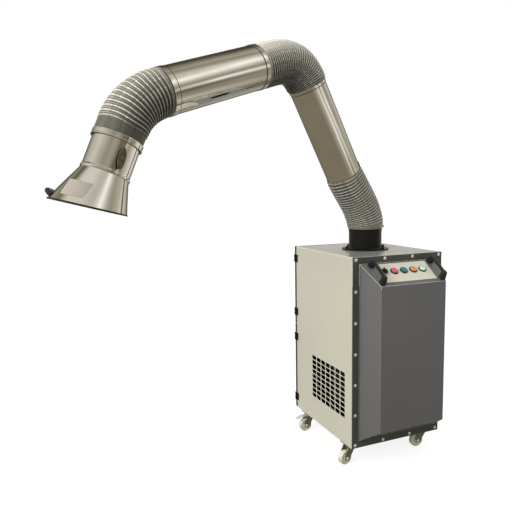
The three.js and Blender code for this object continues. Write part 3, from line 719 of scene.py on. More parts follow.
def control_panel():
    outline = [(-110, -105), (110, -105), (110, -9), (-110, -9)]
    bores = [shifted(rod(12.6, -9, 9, 0, 32), x, -CONTROL_DOWN) for x in CONTROL_X]
    plate = carved(prism(rounded(outline, 2.5), 0.3, 3.0, 0.6), *bores)
    piece("control_plate_sheet", plate, "beige", "cabinet", "control_plate", SLOPE)
    profile = [(15.2, 3.0), (15.2, 4.6), (14.2, 7.2), (13.0, 7.6), (12.6, 7.2), (12.6, -4.0),
               (13.4, -4.0), (13.4, 3.0)]
    bezel = ring(profile, 0.35, 2, 48)
    for k, name in enumerate(CONTROLS):
        piece(name + "_bezel", bezel, "black_plastic" if k else "steel", "cabinet", place=control_place(k))


def push_button(k, part, look, body, node, height):
    """A domed lens cap on its plunger."""
    turns = [math.radians(15 * step) for step in range(6)]
    dome = [(CAP_RADIUS * math.cos(t), height + 2.6 * math.sin(t)) for t in turns]
    cap = ring([(0, -16), (9.6, -16), (9.6, 1.0), (CAP_RADIUS, 2.2), *dome, (0, height + 2.6)], sides=48)
    piece(CONTROLS[k] + part, cap, look, body, node, control_place(k))


def selector():
    """A black rotary switch with a raised grip and a white pointer line."""
    skirt = ring([(0, -16), (9.6, -16), (9.6, 2), (CAP_RADIUS, 3), (CAP_RADIUS, 8.4), (10.6, 10), (0, 10)],
                 [0, 0, 0, 0.4, 0.6, 0.8, 0], 3, 48)
    grip = prism(rounded(blade(4, 3, 11.5), 2), 9, 19.6, 1.2, 3)
    place = control_place(0)
    piece("selector_knob", fused(skirt, grip), "black_plastic", "selector", "selector_switch", place)
    line = block(-0.8, 0.8, 0, 10.6, 19.0, 20.0, 0.2)
    piece("selector_pointer", line, "white_plastic", "selector", place=place)


def front_handle(side, name):
    """A moulded bridge handle: two splayed feet and a rounded bar that bows slightly outwards."""
    x = side * 131
    top, bottom, height = -4, -116, 34
    feet = []
    for end, lean, outer_lean, inner_lean in ((top, -1, 11, 7), (bottom, 1, 6, 3)):
        bm = mesh_of(block(x - 11, x + 11, *sorted((end, end + lean * 20)), 0.3, height - 1))
        for v in bm.verts:
            if v.co.z > height / 2:
                v.co.x = x + (v.co.x - x) * 0.74
                v.co.y += lean * (outer_lean if abs(v.co.y - end) < 1e-3 else inner_lean)
        feet.append(bevelled(solid_of(bm), 3.2, 4))
    shares = [k / 16 for k in range(17)]
    path = [Vector((x, top - 18 + (bottom - top + 28) * share, height - 7 + 1.6 * math.sin(math.pi * share)))
            for share in shares]
    handle = fused(*feet, sweep(path, circle(7.2, 20, 0.74), Z_AXIS))
    piece("front_grip_" + name, handle, "black_plastic", "cabinet", "front_handle_" + name, SLOPE, sharp=28)


def front_controls():
    control_panel()
    selector()
    push_button(1, "_cap", "red", "stop_button", "stop_button", 9.4)
    push_button(2, "_cap", "green", "start_button", "start_button", 9.4)
    push_button(3, "_cap", "orange", "purge_button", "purge_button", 9.4)
    push_button(4, "_dome", "clear", "cabinet", "power_lamp", 8.6)
    front_handle(-1, "left")
    front_handle(1, "right")


# ------------------------------------------------------------------ rear doors
DOORS = ("upper_door", "lower_door")


def door(name):
    """A flanged pan with two stiffening ribs, a bore for its latch, and a gasket round its edge."""
    low, high = box(name)
    latch = pivot(name + "_latch_turn")

    def shrunk(by, y0, y1, bevel=0.0, segments=2):
        return block(low.x + by, high.x - by, y0, y1, low.z + by, high.z - by, bevel, segments)

    bore = moved(rod(6.6, -12, 12, 0, 32), frame_at((latch.x, high.y, latch.z), Y_AXIS, Z_AXIS))
    pan = carved(shrunk(0, low.y, high.y, 2.2, 3), shrunk(WALL, low.y - 5, high.y - WALL, 1.2), bore)
    ribs = []
    for share in (0.3, 0.7):
        x = low.x + (high.x - low.x) * share
        ribs.append(block(x - 14, x + 14, high.y - 6, high.y - WALL / 2, low.z + 20, high.z - 20, 1.5))
    piece(name + "_pan", fused(pan, *ribs), "door", name, name)
    gasket = carved(shrunk(WALL, low.y + 0.6, low.y + 5, 0.8), shrunk(WALL + 9, low.y - 5, low.y + 9))
    piece(name + "_gasket", gasket, "rubber", name)


def hinge(label, door_body):
    """A pair of leaves folded round one pin, each with two rivets."""
    swing = pivot(door_body + "_swing")
    outer, inner = -HALF - 3.1, -HALF - 0.3
    for leaf, body, sign in (("fixed_leaf", "cabinet", -1), ("door_leaf", door_body, 1)):
        low, high = box(label + "_" + leaf)
        z0, z1 = (low.z, low.z + 15.1) if sign < 0 else (high.z - 15.1, high.z)
        knuckle = shifted(tube(3.8, 1.9, z0, z1, 0.4, 36), swing.x, swing.y)
        if sign < 0:
            plate = block(outer, inner, swing.y - 17.5, swing.y - 5.5, low.z, low.z + 31, 0.6)
        else:
            plate = block(outer, inner + 0.3, swing.y + 5.5, swing.y + 13.8, low.z, high.z, 0.6)
        arm = block(swing.x + 0.6, inner, *sorted((swing.y, swing.y + sign * 7)), z0, z1, 0.2)
        parts = [fused(plate, arm, knuckle)]
        if sign < 0:
            parts.append(shifted(rod(1.7, z0, low.z + 30, 0.3, 24), swing.x, swing.y))
        for z in (low.z + 7, low.z + 24):
            place = frame_at((outer, swing.y + sign * 11, z), -X_AXIS, Z_AXIS)
            parts.append(moved(rod(2.4, 0, 1.1, 0.5, 20), place))
        name = label + ("_frame_side" if sign < 0 else "_door_side")
        piece(name, together(*parts), "black", body, label + "_" + leaf)


def door_latch(name):
    """A quarter-turn latch: round base, wing grip, shaft and cam."""
    place = pivot(name + "_latch_turn")
    face = box(name)[1].y
    depth = face - box(name + "_latch")[0].y
    rosette = ring([(0, 0.3), (16, 0.3), (16, 3.4), (12.5, 6), (0, 6)], [0, 0.4, 1.2, 1.5, 0], 3, 64)
    wing = prism(rounded(blade(4.6, 3.2, 14), 2.6), 5, 17.5, 1.3, 3)
    cam = block(-6, 6, -6, 23, -depth, 3 - depth, 0.8)
    latch = fused(rosette, wing, rod(6, 1 - depth, 3, 0.4, 32), cam)
    piece(name + "_quarter_turn_latch", latch, "black_plastic", name + "_latch", name + "_latch",
          frame_at((place.x, face, place.z), Y_AXIS, Z_AXIS))


def rear_doors():
    for name in DOORS:
        door(name)
        door_latch(name)
        for i in (1, 2):
            hinge(f"{name}_hinge_{i}", name)


# ------------------------------------------------------------------ casters
def caster(corner, brake):
    head = pivot("caster_swivel_" + corner)
    axle = pivot("wheel_spin_" + corner)
    lateral = Z_AXIS.cross(Vector((axle.x - head.x, axle.y - head.y, 0)).normalized())
    # The fork's own frame: +X runs from the kingpin to the axle and Y is the axle's direction.
    swivel = frame_at((head.x, head.y, 0), Z_AXIS, lateral)
    trail = (swivel.inverted() @ axle).x
    caster_top(corner, Matrix.Translation((head.x, head.y, 0)))
    caster_fork(corner, swivel, trail, axle.z)
    caster_wheel(corner, frame_at(axle, lateral, Z_AXIS))
    if brake:
        brake_pedal(corner, swivel)


def caster_top(corner, stand):
    """The bolted plate with the swivel's ball race."""
    spots = [(x, y) for x in (-24, 24) for y in (-19, 19)]
    plate = prism(rounded(blade(31, 31, 26), 6, 5), -2.8, -0.3, 0.5)
    slots = [shifted(rod(3.3, -9, 9, 0, 20), x, y) for x, y in spots]
    race = ring([(0, -10.2), (13, -10.2), (17.5, -8.4), (17.5, -5), (14, -2.5), (0, -2.5)],
                [0, 1.0, 1.5, 1.5, 1, 0], 3, 64)
    bolt = moved(hex_bolt(8, 4.6, 5.2), Matrix.Rotation(math.pi, 4, "X"))
    piece("caster_top_" + corner, together(carved(plate, *slots), race), "steel", "cabinet",
          "caster_plate_" + corner, stand)
    bolts = together(*[shifted(bolt, x, y, -2.8) for x, y in spots])
    piece("caster_bolts_" + corner, bolts, "steel", "cabinet", place=stand)


def caster_fork(corner, swivel, trail, drop):
    """Two cheeks on a bridge, and the axle bolt with its heads."""
    body = "caster_" + corner
    outline = [(-17, -10.6), (18, -10.6), (trail + 11, drop + 9), (trail + 9, drop - 8),
               (trail - 9, drop - 8), (-8, -27)]
    leg = rounded(outline, [3, 6, 7, 8, 8, 7], 5)
    cheeks = [moved(prism(leg, y, y + 2.5, 0.6), STAND_UP) for y in (14, -16.5)]
    bridge = prism(rounded(blade(17, 17, 16), 5), -13.3, -10.6, 0.8)
    cup = ring([(0, -12.5), (17, -12.5), (15, -10.5), (0, -10.5)], [0, 0.6, 0.6, 0], 2, 48)
    piece("caster_yoke_" + corner, fused(bridge, *cheeks, cup), "fork", body, "caster_fork_" + corner, swivel)
    ends = [moved(pan_screw(6.2, 4.4), frame_at((trail, way * 16.4, drop), (0, way, 0), Z_AXIS))
            for way in (-1, 1)]
    shaft = moved(rod(4, -17, 17, 0.2, 24), frame_at((trail, 0, drop), Y_AXIS, Z_AXIS))
    piece("caster_axle_" + corner, together(shaft, *ends), "screw", body, place=swivel)


def caster_wheel(corner, place):
    """A nylon wheel with a crowned tread and six pockets in each side."""
    half = [(4.6, -12), (9.6, -12), (10.4, -10.8), (13, -9.7), (19, -9.7), (21.5, -10.6), (24, -10.8),
            (27, -7.5)]
    radii = [0.2, 0.8, 0.8, 0.8, 0.8, 0.8, 1.6, 2.4]
    tread = ring(half + [(r, -z) for r, z in half[::-1]], radii + radii[::-1], 4, 96)
    pocket = rounded([(13.5, -3.2), (18.5, -4.6), (18.5, 4.6), (13.5, 3.2)], 1.4, 3)
    pockets = [moved(prism(pocket, z, z + 3), about_z(60 * k + 12)) for k in range(6) for z in (8.6, -11.6)]
    piece("caster_tyre_" + corner, carved(tread, together(*pockets)), "nylon", "wheel_" + corner,
          "caster_wheel_" + corner, place)


def brake_pedal(corner, swivel):
    """A stamped pedal: a bent strip with a pivot pin and grip ridges."""
    line = [(2, -14.8), (16, -15.0), (30, -15.6), (44, -16.8), (54, -18.4), (60, -20.6), (66, -24.2)]
    thick = 2.0
    strip = moved(prism(line + [(x, z - thick) for x, z in line[::-1]], -12, 12, 0.5), STAND_UP)
    ridges = [block(x - 0.9, x + 0.9, -8, 8, z - 0.4, z + 0.9, 0.4)
              for x, z in ((38, -16.2), (43, -16.7), (48, -17.4))]
    pin = moved(rod(1.9, -13.4, 13.4, 0.3, 20), frame_at((4, 0, -16.2), Y_AXIS, Z_AXIS))
    piece("brake_lever_" + corner, together(strip, pin, *ridges), "screw", "brake_" + corner,
          "brake_pedal_" + corner, swivel)


# ------------------------------------------------------------------ suction arm
PIN_AXIS = axis_of("elbow")
BASE_FRAME = frame_at((0, 0, TOP), Z_AXIS, PIN_AXIS)
LOWER_FRAME = frame_at(pivot("shoulder"), pivot("elbow") - pivot("shoulder"), PIN_AXIS)
UPPER_FRAME = frame_at(pivot("elbow"), pivot("wrist") - pivot("elbow"), PIN_AXIS)
HOOD_FRAME = frame_at(pivot("wrist"), axis_of("hood_roll"), PIN_AXIS)
FINE_SIDES = 160


def measured(node, place):
    """(lowest z, highest z, largest radius) of a CAD node in the given frame."""
    back = place.inverted()
    points = [back @ (v.co * METRE) for v in frame["nodes"][node].data.vertices]
    return min(p.z for p in points), max(p.z for p in points), max(math.hypot(p.x, p.y) for p in points)


LOWER_START, LOWER_END, LOWER_RADIUS = measured("lower_tube", LOWER_FRAME)
UPPER_START, UPPER_END, UPPER_RADIUS = measured("upper_tube", UPPER_FRAME)


def inlet_collar():
    """The flanged steel collar on the cabinet top, with its weld bead and bolts."""
    low, high = box("inlet_collar")
    outer, inner, flange, height = 66, 63, 94, high.z - low.z
    profile = [(inner, 0), (flange, 0), (flange, 5), (outer + 3.5, 5), (outer, 8.5), (outer, height),
               (inner, height)]
    place = Matrix.Translation((0, 0, low.z))
    collar = ring(profile, [0.3, 0.8, 0.8, 1.5, 1.5, 0.4, 0.4], 3, 128)
    piece("collar_tube", collar, "black", "cabinet", "inlet_collar", place)
    bolt = together(hex_bolt(13, 7.4, 8.4), rod(3.9, 0, 9.5, 0.6, 24))
    turns = [math.radians(175 + 60 * k) for k in range(6)]
    bolts = [shifted(bolt, 81 * math.cos(turn), 81 * math.sin(turn), 5) for turn in turns]
    piece("collar_bolts", together(*bolts), "black", "cabinet", place=place)


def swivel_cuff():
    """The black cuff that turns on the collar and carries the lower hose."""
    piece("swivel_cuff", tube(67.0, 66.1, 70.8, 92.4, 0.3, 128), "black", "arm_base", place=BASE_FRAME)


def sleeve(name, body, place, radius, z0, z1, seam):
    """A short steel band round a tube's end, with a dark seal in the seam at `seam`."""
    band = tube(radius + 1.4, radius + 0.1, z0, z1, 0.6, FINE_SIDES)
    piece(name + "_band", band, "stainless", body, place=place)
    seal = tube(radius + 0.9, radius + 0.05, seam - 1.1, seam + 1.1, 0.4, 128)
    piece(name + "_seal", seal, "rubber", body, place=place)


def tubes():
    """The two polished tubes. The upper one narrows to a neck at each end."""
    wall = 1.5
    radius, end = LOWER_RADIUS, LOWER_END
    profile = [(radius, LOWER_START), (radius, end), (radius - wall, end), (radius - wall, LOWER_START)]
    duct = ring(profile, 0.3, 3, FINE_SIDES)
    piece("lower_duct", duct, "stainless", "lower_arm", "lower_tube", LOWER_FRAME)
    sleeve("lower_duct", "lower_arm", LOWER_FRAME, radius, end - 13, end - 3, end - 14.2)

    neck, radius = 68, UPPER_RADIUS
    start, end = UPPER_START + 25, UPPER_END - 25
    profile = [(neck, UPPER_START), (neck, start - 2), (radius, start), (radius, end), (neck, end + 2),
               (neck, UPPER_END), (neck - wall, UPPER_END), (neck - wall, end + 1), (radius - wall, end - 1),
               (radius - wall, start + 1), (neck - wall, start - 1), (neck - wall, UPPER_START)]
    duct = ring(profile, 0.5, 3, FINE_SIDES)
    piece("upper_duct", duct, "stainless", "upper_arm", "upper_tube", UPPER_FRAME)
    sleeve("upper_duct_start", "upper_arm", UPPER_FRAME, radius, start - 14, start + 1, start + 2.2)
    sleeve("upper_duct_end", "upper_arm", UPPER_FRAME, radius, end - 17, end + 1, end - 18.2)


def centre_line(start, start_way, end, end_way, count):
    """Evenly spaced points along a cubic Bezier, with the unit directions at each, and its length."""
    a, b, c, d = start, start + start_way, end - end_way, end
    steps = 400
    fine = [a * (1 - t) ** 3 + b * 3 * t * (1 - t) ** 2 + c * 3 * t * t * (1 - t) + d * t ** 3
            for t in [k / steps for k in range(steps + 1)]]
    lengths = [0.0]
    for p, q in zip(fine, fine[1:]):
        lengths.append(lengths[-1] + (q - p).length)
    points, j = [], 0
    for i in range(count):
        target = lengths[-1] * i / (count - 1)
        while j < steps - 1 and lengths[j + 1] < target:
            j += 1
        share = (target - lengths[j]) / max(lengths[j + 1] - lengths[j], 1e-9)
        points.append(fine[j].lerp(fine[j + 1], min(share, 1.0)))
    ways = [(points[min(i + 1, count - 1)] - points[max(i - 1, 0)]).normalized() for i in range(count)]
    ways[0], ways[-1] = start_way.normalized(), end_way.normalized()
    return points, ways, lengths[-1]


RIB_DEPTH = 2.9
HOSE_SIDES = 96
RINGS_PER_RIB = 8
THREAD = 2.4                         # the weave's repeat
TURNS = [2 * math.pi * k / HOSE_SIDES for k in range(HOSE_SIDES)]


def ripple(angle, run, seed):
    """A slow, repeatable unevenness between -1 and 1 around and along a hose."""
    return (math.sin(3 * angle + run * 0.061 + seed) * 0.45
            + math.sin(5 * angle - run * 0.113 + 2 * seed) * 0.3
            + math.sin(2 * angle + run * 0.197 + 3 * seed) * 0.25)


def hose_ring(point, way, angle, radius):
    out = PIN_AXIS.cross(way).normalized()
    return point + out * radius * math.cos(angle) + PIN_AXIS * radius * math.sin(angle)


def hose_faces(count, inner):
    """The quads of the outer skin, the inner skin and the two rims, as (ring, side) pairs."""
    faces = []
    sides = range(HOSE_SIDES)
    for i in range(count - 1):
        faces += [[(i, k), (i, k + 1), (i + 1, k + 1), (i + 1, k)] for k in sides]
    for i in range(count, count + inner - 1):
        faces += [[(i + 1, k), (i + 1, k + 1), (i, k + 1), (i, k)] for k in sides]
    for a, b in ((0, count), (count + inner - 1, count - 1)):
        faces += [[(a, k + 1), (a, k), (b, k), (b, k + 1)] for k in sides]
    return faces


def hose(name, node, bodies, start, start_way, end, end_way, cuffs, seed, crest, rib_pitch, cuff_tones_and_side_shades):
    """A wire-ribbed cloth hose. cuffs is ((length, radius), (length, radius)) for its two plain ends, and
    the last argument is the lightness of its first cuff, its outer side, its inner side and its last cuff.
    The two sides' values are painted light and shade: the ribbed part is painted lighter on one side than on
    the other."""
    (first, first_radius), (last, last_radius) = cuffs
    _, _, length = centre_line(start, start_way, end, end_way, 3)
    ribs = max(4, round((length - first - last) / rib_pitch))
    pitch = (length - first - last) / ribs
    count = int(length / pitch * RINGS_PER_RIB) + 1
    points, ways, length = centre_line(start, start_way, end, end_way, count)
    corners, crests, shades = [], [], []
    for i, (point, way) in enumerate(zip(points, ways)):
        run = length * i / (count - 1)
        plain = max(1.0 - max(0.0, min(1.0, (away - size) / (0.8 * pitch)))
                    for away, size in ((run, first), (length - run, last)))
        cuff_radius, cuff_tone = (first_radius, cuff_tones_and_side_shades[0]) if run < length / 2 else (last_radius, cuff_tones_and_side_shades[3])
        outer = cuff_tones_and_side_shades[1] + 0.6 * (cuff_tones_and_side_shades[3] - cuff_tones_and_side_shades[1]) * run / length
        for angle in TURNS:
            uneven = ripple(angle, run, seed)
            facing = 0.5 - 0.5 * math.cos(angle)
            drift = 0.2 * ripple(angle, run / 4, seed + 1)
            phase = 2 * math.pi * ((run - first + 0.5 * pitch) / pitch + drift)
            wire = (0.5 + 0.5 * math.cos(phase)) ** 1.7
            pleat = (0.5 - 0.5 * math.cos(phase)) ** 3 * 0.8 * facing
            wave = max(wire, pleat)
            radius = crest - RIB_DEPTH * (1 - wave) * (1 + 0.25 * uneven) + 0.45 * uneven
            radius = radius * (1 - plain) + (cuff_radius + 0.25 * uneven) * plain
            corners.append(hose_ring(point, way, angle, radius))
            crests.append(wave * (1 - plain) + 0.5 * plain)
            # Painted light and shade: the ribbed part runs from the inner side's lightness to the outer
            # side's as facing goes from 0 to 1.
            shades.append((cuff_tones_and_side_shades[2] + (outer - cuff_tones_and_side_shades[2]) * facing ** 1.8) * (1 - plain) + cuff_tone * plain)
    inner_rings = max(8, ribs)
    inner_radius = min(first_radius, last_radius, crest - RIB_DEPTH) - 1.6
    for j in range(inner_rings):
        i = round(j * (count - 1) / (inner_rings - 1))
        corners += [hose_ring(points[i], ways[i], angle, inner_radius) for angle in TURNS]
        crests += [0.0] * HOSE_SIDES
        shades += [0.3] * HOSE_SIDES
    faces = hose_faces(count, inner_rings)
    mesh = bpy.data.meshes.new(name)
    mesh.from_pydata([corner / METRE for corner in corners], [],
                     [tuple(i * HOSE_SIDES + k % HOSE_SIDES for i, k in face) for face in faces])
    cell = 2 * math.pi / 20
    around = round(2 * math.pi * crest / THREAD) / HOSE_SIDES
    layer = mesh.uv_layers.new(name="weave")
    for polygon, face in zip(mesh.polygons, faces):
        for loop, (i, k) in zip(polygon.loop_indices, face):
            layer.data[loop].uv = (k * around * cell, i * pitch / RINGS_PER_RIB / THREAD * cell)
    mesh.attributes.new("rib", "FLOAT", "POINT").data.foreach_set("value", crests)
    mesh.attributes.new("cloth_lightness_and_shade", "FLOAT", "POINT").data.foreach_set("value", shades)
    mesh.shade_smooth()
    material, slot = LOOK["hose"]
    mesh.materials.append(material)
    made = linked(name, mesh)
    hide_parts(node)
    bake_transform(made)


def along(place, z, reach):
    """A point on the placement's axis, and the axis as a vector of length `reach`."""
    return place @ Vector((0, 0, z)), place.to_3x3() @ Z_AXIS * reach


def hoses():
    # Each last tuple: the first cuff's lightness, the painted light and painted shade of the outer and inner
    # sides, and the last cuff's lightness.
    hose("lower_hose_ribbed", "lower_hose", ("arm_base", "lower_arm"),
         *along(BASE_FRAME, 84, 82), *along(LOWER_FRAME, LOWER_START + 31, 80),
         ((9, 69.4), (2, 69.6)), 0.3, 73.6, 11.5, (0.45, 0.6, 0.3, 0.3))
    hose("elbow_hose_ribbed", "elbow_hose", ("lower_arm", "upper_arm"),
         *along(LOWER_FRAME, LOWER_END - 2, 119), *along(UPPER_FRAME, UPPER_START + 10, 86),
         ((3, 71.5), (5, 71.5)), 1.7, 74.8, 8.4, (0.3, 1.0, 0.02, 0.75))
    hose("wrist_hose_ribbed", "wrist_hose", ("upper_arm", "wrist"),
         *along(UPPER_FRAME, UPPER_END - 22, 97), *along(HOOD_FRAME, 118, 56),
         ((3, 72.5), (26, 71.2)), 2.9, 74.4, 12.2, (0.42, 0.3, 0.0, 0.08))


def clamps():
    """A worm clamp at the sleeve, a polished band round the wrist, and the tail of the lower hose's clamp."""
    band, screw = worm_clamp(70.2, 7, 148)
    place = BASE_FRAME @ Matrix.Translation((0, 0, 92))
    piece("sleeve_clamp_band", band, "galvanised", "arm_base", place=place)
    piece("sleeve_clamp_screw", screw, "steel", "arm_base", place=place)
    place = HOOD_FRAME @ Matrix.Translation((0, 0, WRIST_BAND))
    profile = [(72.1, -8.6), (73.4, -8.6), (73.4, -6.6), (72.8, -5.6), (72.8, 4.6), (73.6, 5.6),
               (73.6, 8.2), (72.1, 8.2)]
    piece("wrist_band", ring(profile, 0.35, 3, FINE_SIDES), "stainless", "wrist", place=place)
    lug = together(block(72.6, 75.4, -9, 9, -4.6, 4.0, 1.0, 3),
                   moved(pan_screw(3.6, 2.4), frame_at((75.2, 0, 0), X_AXIS, Z_AXIS)))
    for name, turn in (("wrist_lug_near", 78), ("wrist_lug_far", 258)):
        piece(name, moved(lug, about_z(turn)), "steel", "wrist", place=place)
    z = LOWER_START + 31
    strap = moved(block(68.2, 70.4, -6, 6, z - 4, z + 17, 0.8, 3), about_z(146))
    piece("lower_hose_clip", strap, "black", "lower_arm", place=LOWER_FRAME)


# ------------------------------------------------------------------ hood
# Places along the hood's axis, from the wrist's pivot.
NECK_START, WRIST_BAND, DAMPER, SHOULDER, MOUTH = 122, 128, 185, 231, 332
NECK, RIM, HOOD_WALL = 68, 105.5, 1.4          # radii, and the sheet
RIM_SHIFT = 12
RIM_TILT, RIM_ROLL = math.tan(math.radians(9)), math.tan(math.radians(3.8))


def skewed(solid):
    """The straight cone turned into the hood's slanted one, as in the CAD: its rim is shifted and tilted."""
    corners = []
    for p in solid[0]:
        share = max(0.0, (p.z - SHOULDER) / (MOUTH - SHOULDER))
        lift = (RIM_ROLL * p.y - RIM_TILT * p.x) * share
        corners.append(Vector((p.x - RIM_SHIFT * share, p.y, p.z + lift)))
    return corners, solid[1]


def hood():
    """The spun hood: a neck, a rolled shoulder and a slanted cone with a rubber bead on its rim."""
    roll = NECK + 2.8
    line = [(NECK, NECK_START, 0.3), (NECK, SHOULDER - 9, 3), (roll, SHOULDER - 5.5, 2.2),
            (roll, SHOULDER - 0.5, 2.2), (NECK + 1, SHOULDER + 2, 1.5), (RIM, MOUTH, 0.3)]
    outside = [(r, z) for r, z, _ in line]
    inside = [(r - HOOD_WALL, z) for r, z, _ in line[::-1]]
    corners = [corner for _, _, corner in line]
    profile = rounded(outside + inside, corners + corners[::-1], 4)
    fine = []
    for (r0, z0), (r1, z1) in zip(profile, profile[1:] + profile[:1]):
        parts = max(1, int(math.hypot(r1 - r0, z1 - z0) / 9))
        fine += [(r0 + (r1 - r0) * k / parts, z0 + (z1 - z0) * k / parts) for k in range(parts)]
    bore = moved(rod(3.7, -90, 90, 0, 24), frame_at((0, 0, DAMPER), Y_AXIS, Z_AXIS))
    cone = carved(skewed(ring(fine, sides=FINE_SIDES)), bore)
    piece("hood_cone", cone, "stainless", "hood", "hood", HOOD_FRAME, sharp=24)
    edge = [(RIM - 3.6, MOUTH - 2.2), (RIM - 1.2, MOUTH - 2.2), (RIM + 2.3, MOUTH + 0.4),
            (RIM + 2.3, MOUTH + 3.4), (RIM - 3.6, MOUTH + 3.4)]
    piece("hood_edge_bead", skewed(ring(edge, 1.0, 4, FINE_SIDES)), "rubber", "hood", "hood_rim", HOOD_FRAME)


def on_cone(turn, share, lift):
    """A point above the cone, `turn` degrees round it, with share 0 at the shoulder and 1 at the rim."""
    z = SHOULDER + 2 + (MOUTH - SHOULDER - 2) * share
    r = NECK + 1 + (RIM - NECK - 1) * share + lift
    angle = math.radians(turn)
    return skewed(([Vector((r * math.cos(angle), r * math.sin(angle), z))], []))[0][0]


def hood_sticker():
    """A thin blank film stuck on the cone."""
    rows, columns = 10, 16
    corners = []
    for lift in (0.15, 0.4):
        for down in [r / rows for r in range(rows + 1)]:
            start, width = 118.5 + 3.5 * down, 50.5 - 11 * down
            corners += [on_cone(start + width * c / columns, 0.43 + 0.41 * down, lift)
                        for c in range(columns + 1)]

    def index(layer, r, c):
        return (layer * (rows + 1) + r) * (columns + 1) + c

    faces = [(index(layer, r, c), index(layer, r, c + 1), index(layer, r + 1, c + 1), index(layer, r + 1, c))
             for layer in (0, 1) for r in range(rows) for c in range(columns)]
    border = [(0, c) for c in range(columns)] + [(r, columns) for r in range(rows)]
    border += [(rows, c) for c in range(columns, 0, -1)] + [(r, 0) for r in range(rows, 0, -1)]
    for (r0, c0), (r1, c1) in zip(border, border[1:] + border[:1]):
        faces.append((index(0, r0, c0), index(0, r1, c1), index(1, r1, c1), index(1, r0, c0)))
    piece("hood_blank_sticker", (corners, faces), "sticker", "hood", place=HOOD_FRAME)


def catmull(points, steps):
    """A smooth curve through the points, as `steps` points for each stretch."""
    padded = [points[0] * 2 - points[1], *points, points[-1] * 2 - points[-2]]
    result = []
    for a, b, c, d in zip(padded, padded[1:], padded[2:], padded[3:]):
        for t in [k / steps for k in range(steps)]:
            result.append(0.5 * (2 * b + (c - a) * t + (2 * a - 5 * b + 4 * c - d) * t * t
                                 + (3 * b - a - 3 * c + d) * t ** 3))
    return result + [points[-1]]


def hood_handle():
    """The bow handle on the rim: a rounded bar between two feet."""
    out = math.radians(64)
    base = Vector((RIM - 9, 0, MOUTH - 9))
    away = Vector((math.sin(out), 0, -math.cos(out)))
    spin = about_z(217)

    def at(distance, y):
        return base + away * distance + Vector((0, y, -0.1 * y))

    half = [(-9, -38), (1, -38), (10, -34), (16, -23)]
    bow = half + [(17.5, 0)] + [(distance, -y) for distance, y in half[::-1]]
    bar = sweep(catmull([at(*spot) for spot in bow], 6), circle(8, 20, 0.92), Z_AXIS)
    feet = [moved(rod(7.6, -1, 6.6, 1.2, 40), frame_at(at(-3, y), away, Y_AXIS)) for y in (-38, 38)]
    plain = spin @ base
    shift = Matrix.Translation(skewed(([plain], []))[0][0] - plain)
    place = HOOD_FRAME @ shift @ spin
    piece("hood_bow_handle", fused(bar, *feet), "black_plastic", "hood", "hood_handle", place)


def damper():
    """The butterfly disc, its spindle and the oblong lever outside the neck."""
    middle = Vector((0, 0, DAMPER))
    along_y = frame_at(middle, Y_AXIS, Z_AXIS)
    blade_radius, half_sheet = NECK - 3, 1
    outline = [(0, -half_sheet), (blade_radius, -half_sheet), (blade_radius, half_sheet), (0, half_sheet)]
    disc = moved(ring(outline, [0, 0.6, 0.6, 0], 3, 128), frame_at(middle, X_AXIS, Y_AXIS))
    spindle = moved(rod(3, -72, 81, 0.5, 28), along_y)
    saddle = block(-2.6, 2.6, -46, 46, DAMPER - 6, DAMPER + 6, 1.0)
    shape = fused(disc, saddle, spindle)
    piece("damper_disc", shape, "galvanised", "damper", "damper", HOOD_FRAME)
    out = NECK + 8
    lever = moved(prism(circle(11, 40, 31 / 11), out, out + 4.8, 1.6, 3), about_z(-7))
    hub = rod(7, out - 6, out + 0.5, 0.6, 32)
    place = HOOD_FRAME @ Matrix.Translation(middle) @ STAND_UP
    piece("damper_lever", fused(lever, hub), "olive", "damper", place=place)
    nut = moved(shifted(hex_bolt(8, 4.4, 5.4), z=out + 4.6), along_y)
    piece("damper_nut", nut, "olive", "damper", place=HOOD_FRAME)


# ------------------------------------------------------------------ inside the cabinet
# The blower housing wears the dark grey door paint as painted shade, for the dark inside seen through the
# vents.
CAD_LOOKS = {"base_tray": "galvanised", "inner_bulkhead": "galvanised", "control_box": "grey_plastic",
             "filter_shelf": "galvanised", "carbon_filter": "carbon", "main_filter": "paper",
             "pre_filter": "paper", "blower_housing": "door", "blower_impeller": "galvanised",
             "blower_motor": "door", "swivel_sleeve": "black", "lower_link": "steel", "upper_link": "steel",
             "wrist_ring": "stainless"}


def pleats(node, inset, pitch):
    """A zigzag sheet of filter paper in the recess on top of a filter's frame."""
    low, high = box(node)
    x0, x1, z0, z1 = low.x + inset, high.x - inset, high.z - 5.6, high.z - 0.6
    folds = 2 * int((x1 - x0) / pitch)
    line = [(x0 + (x1 - x0) * k / folds, z1 if k % 2 else z0 + 1) for k in range(folds + 1)]
    sheet = prism(line + [(x1, z0), (x0, z0)], low.y + inset + 1, high.y - inset - 1)
    piece(node + "_pleats", moved(sheet, STAND_UP), "paper", "cabinet")


def inside_pieces():
    """The filters' pleats, and the looks of the CAD nodes that stay."""
    pleats("main_filter", 12, 9)
    pleats("pre_filter", 14, 12)
    for node, look in CAD_LOOKS.items():
        cad = frame["nodes"][node]
        cad.data.materials.clear()
        cad.data.materials.append(LOOK[look][0])
        soften = cad.modifiers.new("soft_edges", "BEVEL")
        soften.width = 0.5 / METRE
        soften.segments = 2
        soften.limit_method = "ANGLE"
        soften.angle_limit = math.radians(40)
        soften.harden_normals = False


# ------------------------------------------------------------------ studio
# The plain room that polished metal reflects, in brightness levels from 0 to 255: floor, furniture, shaded
# wall, lit wall, ceiling and window.
LOW, DARK, DIM, PALE, HIGH, WINDOW = 105, 75, 120, 170, 190, 240
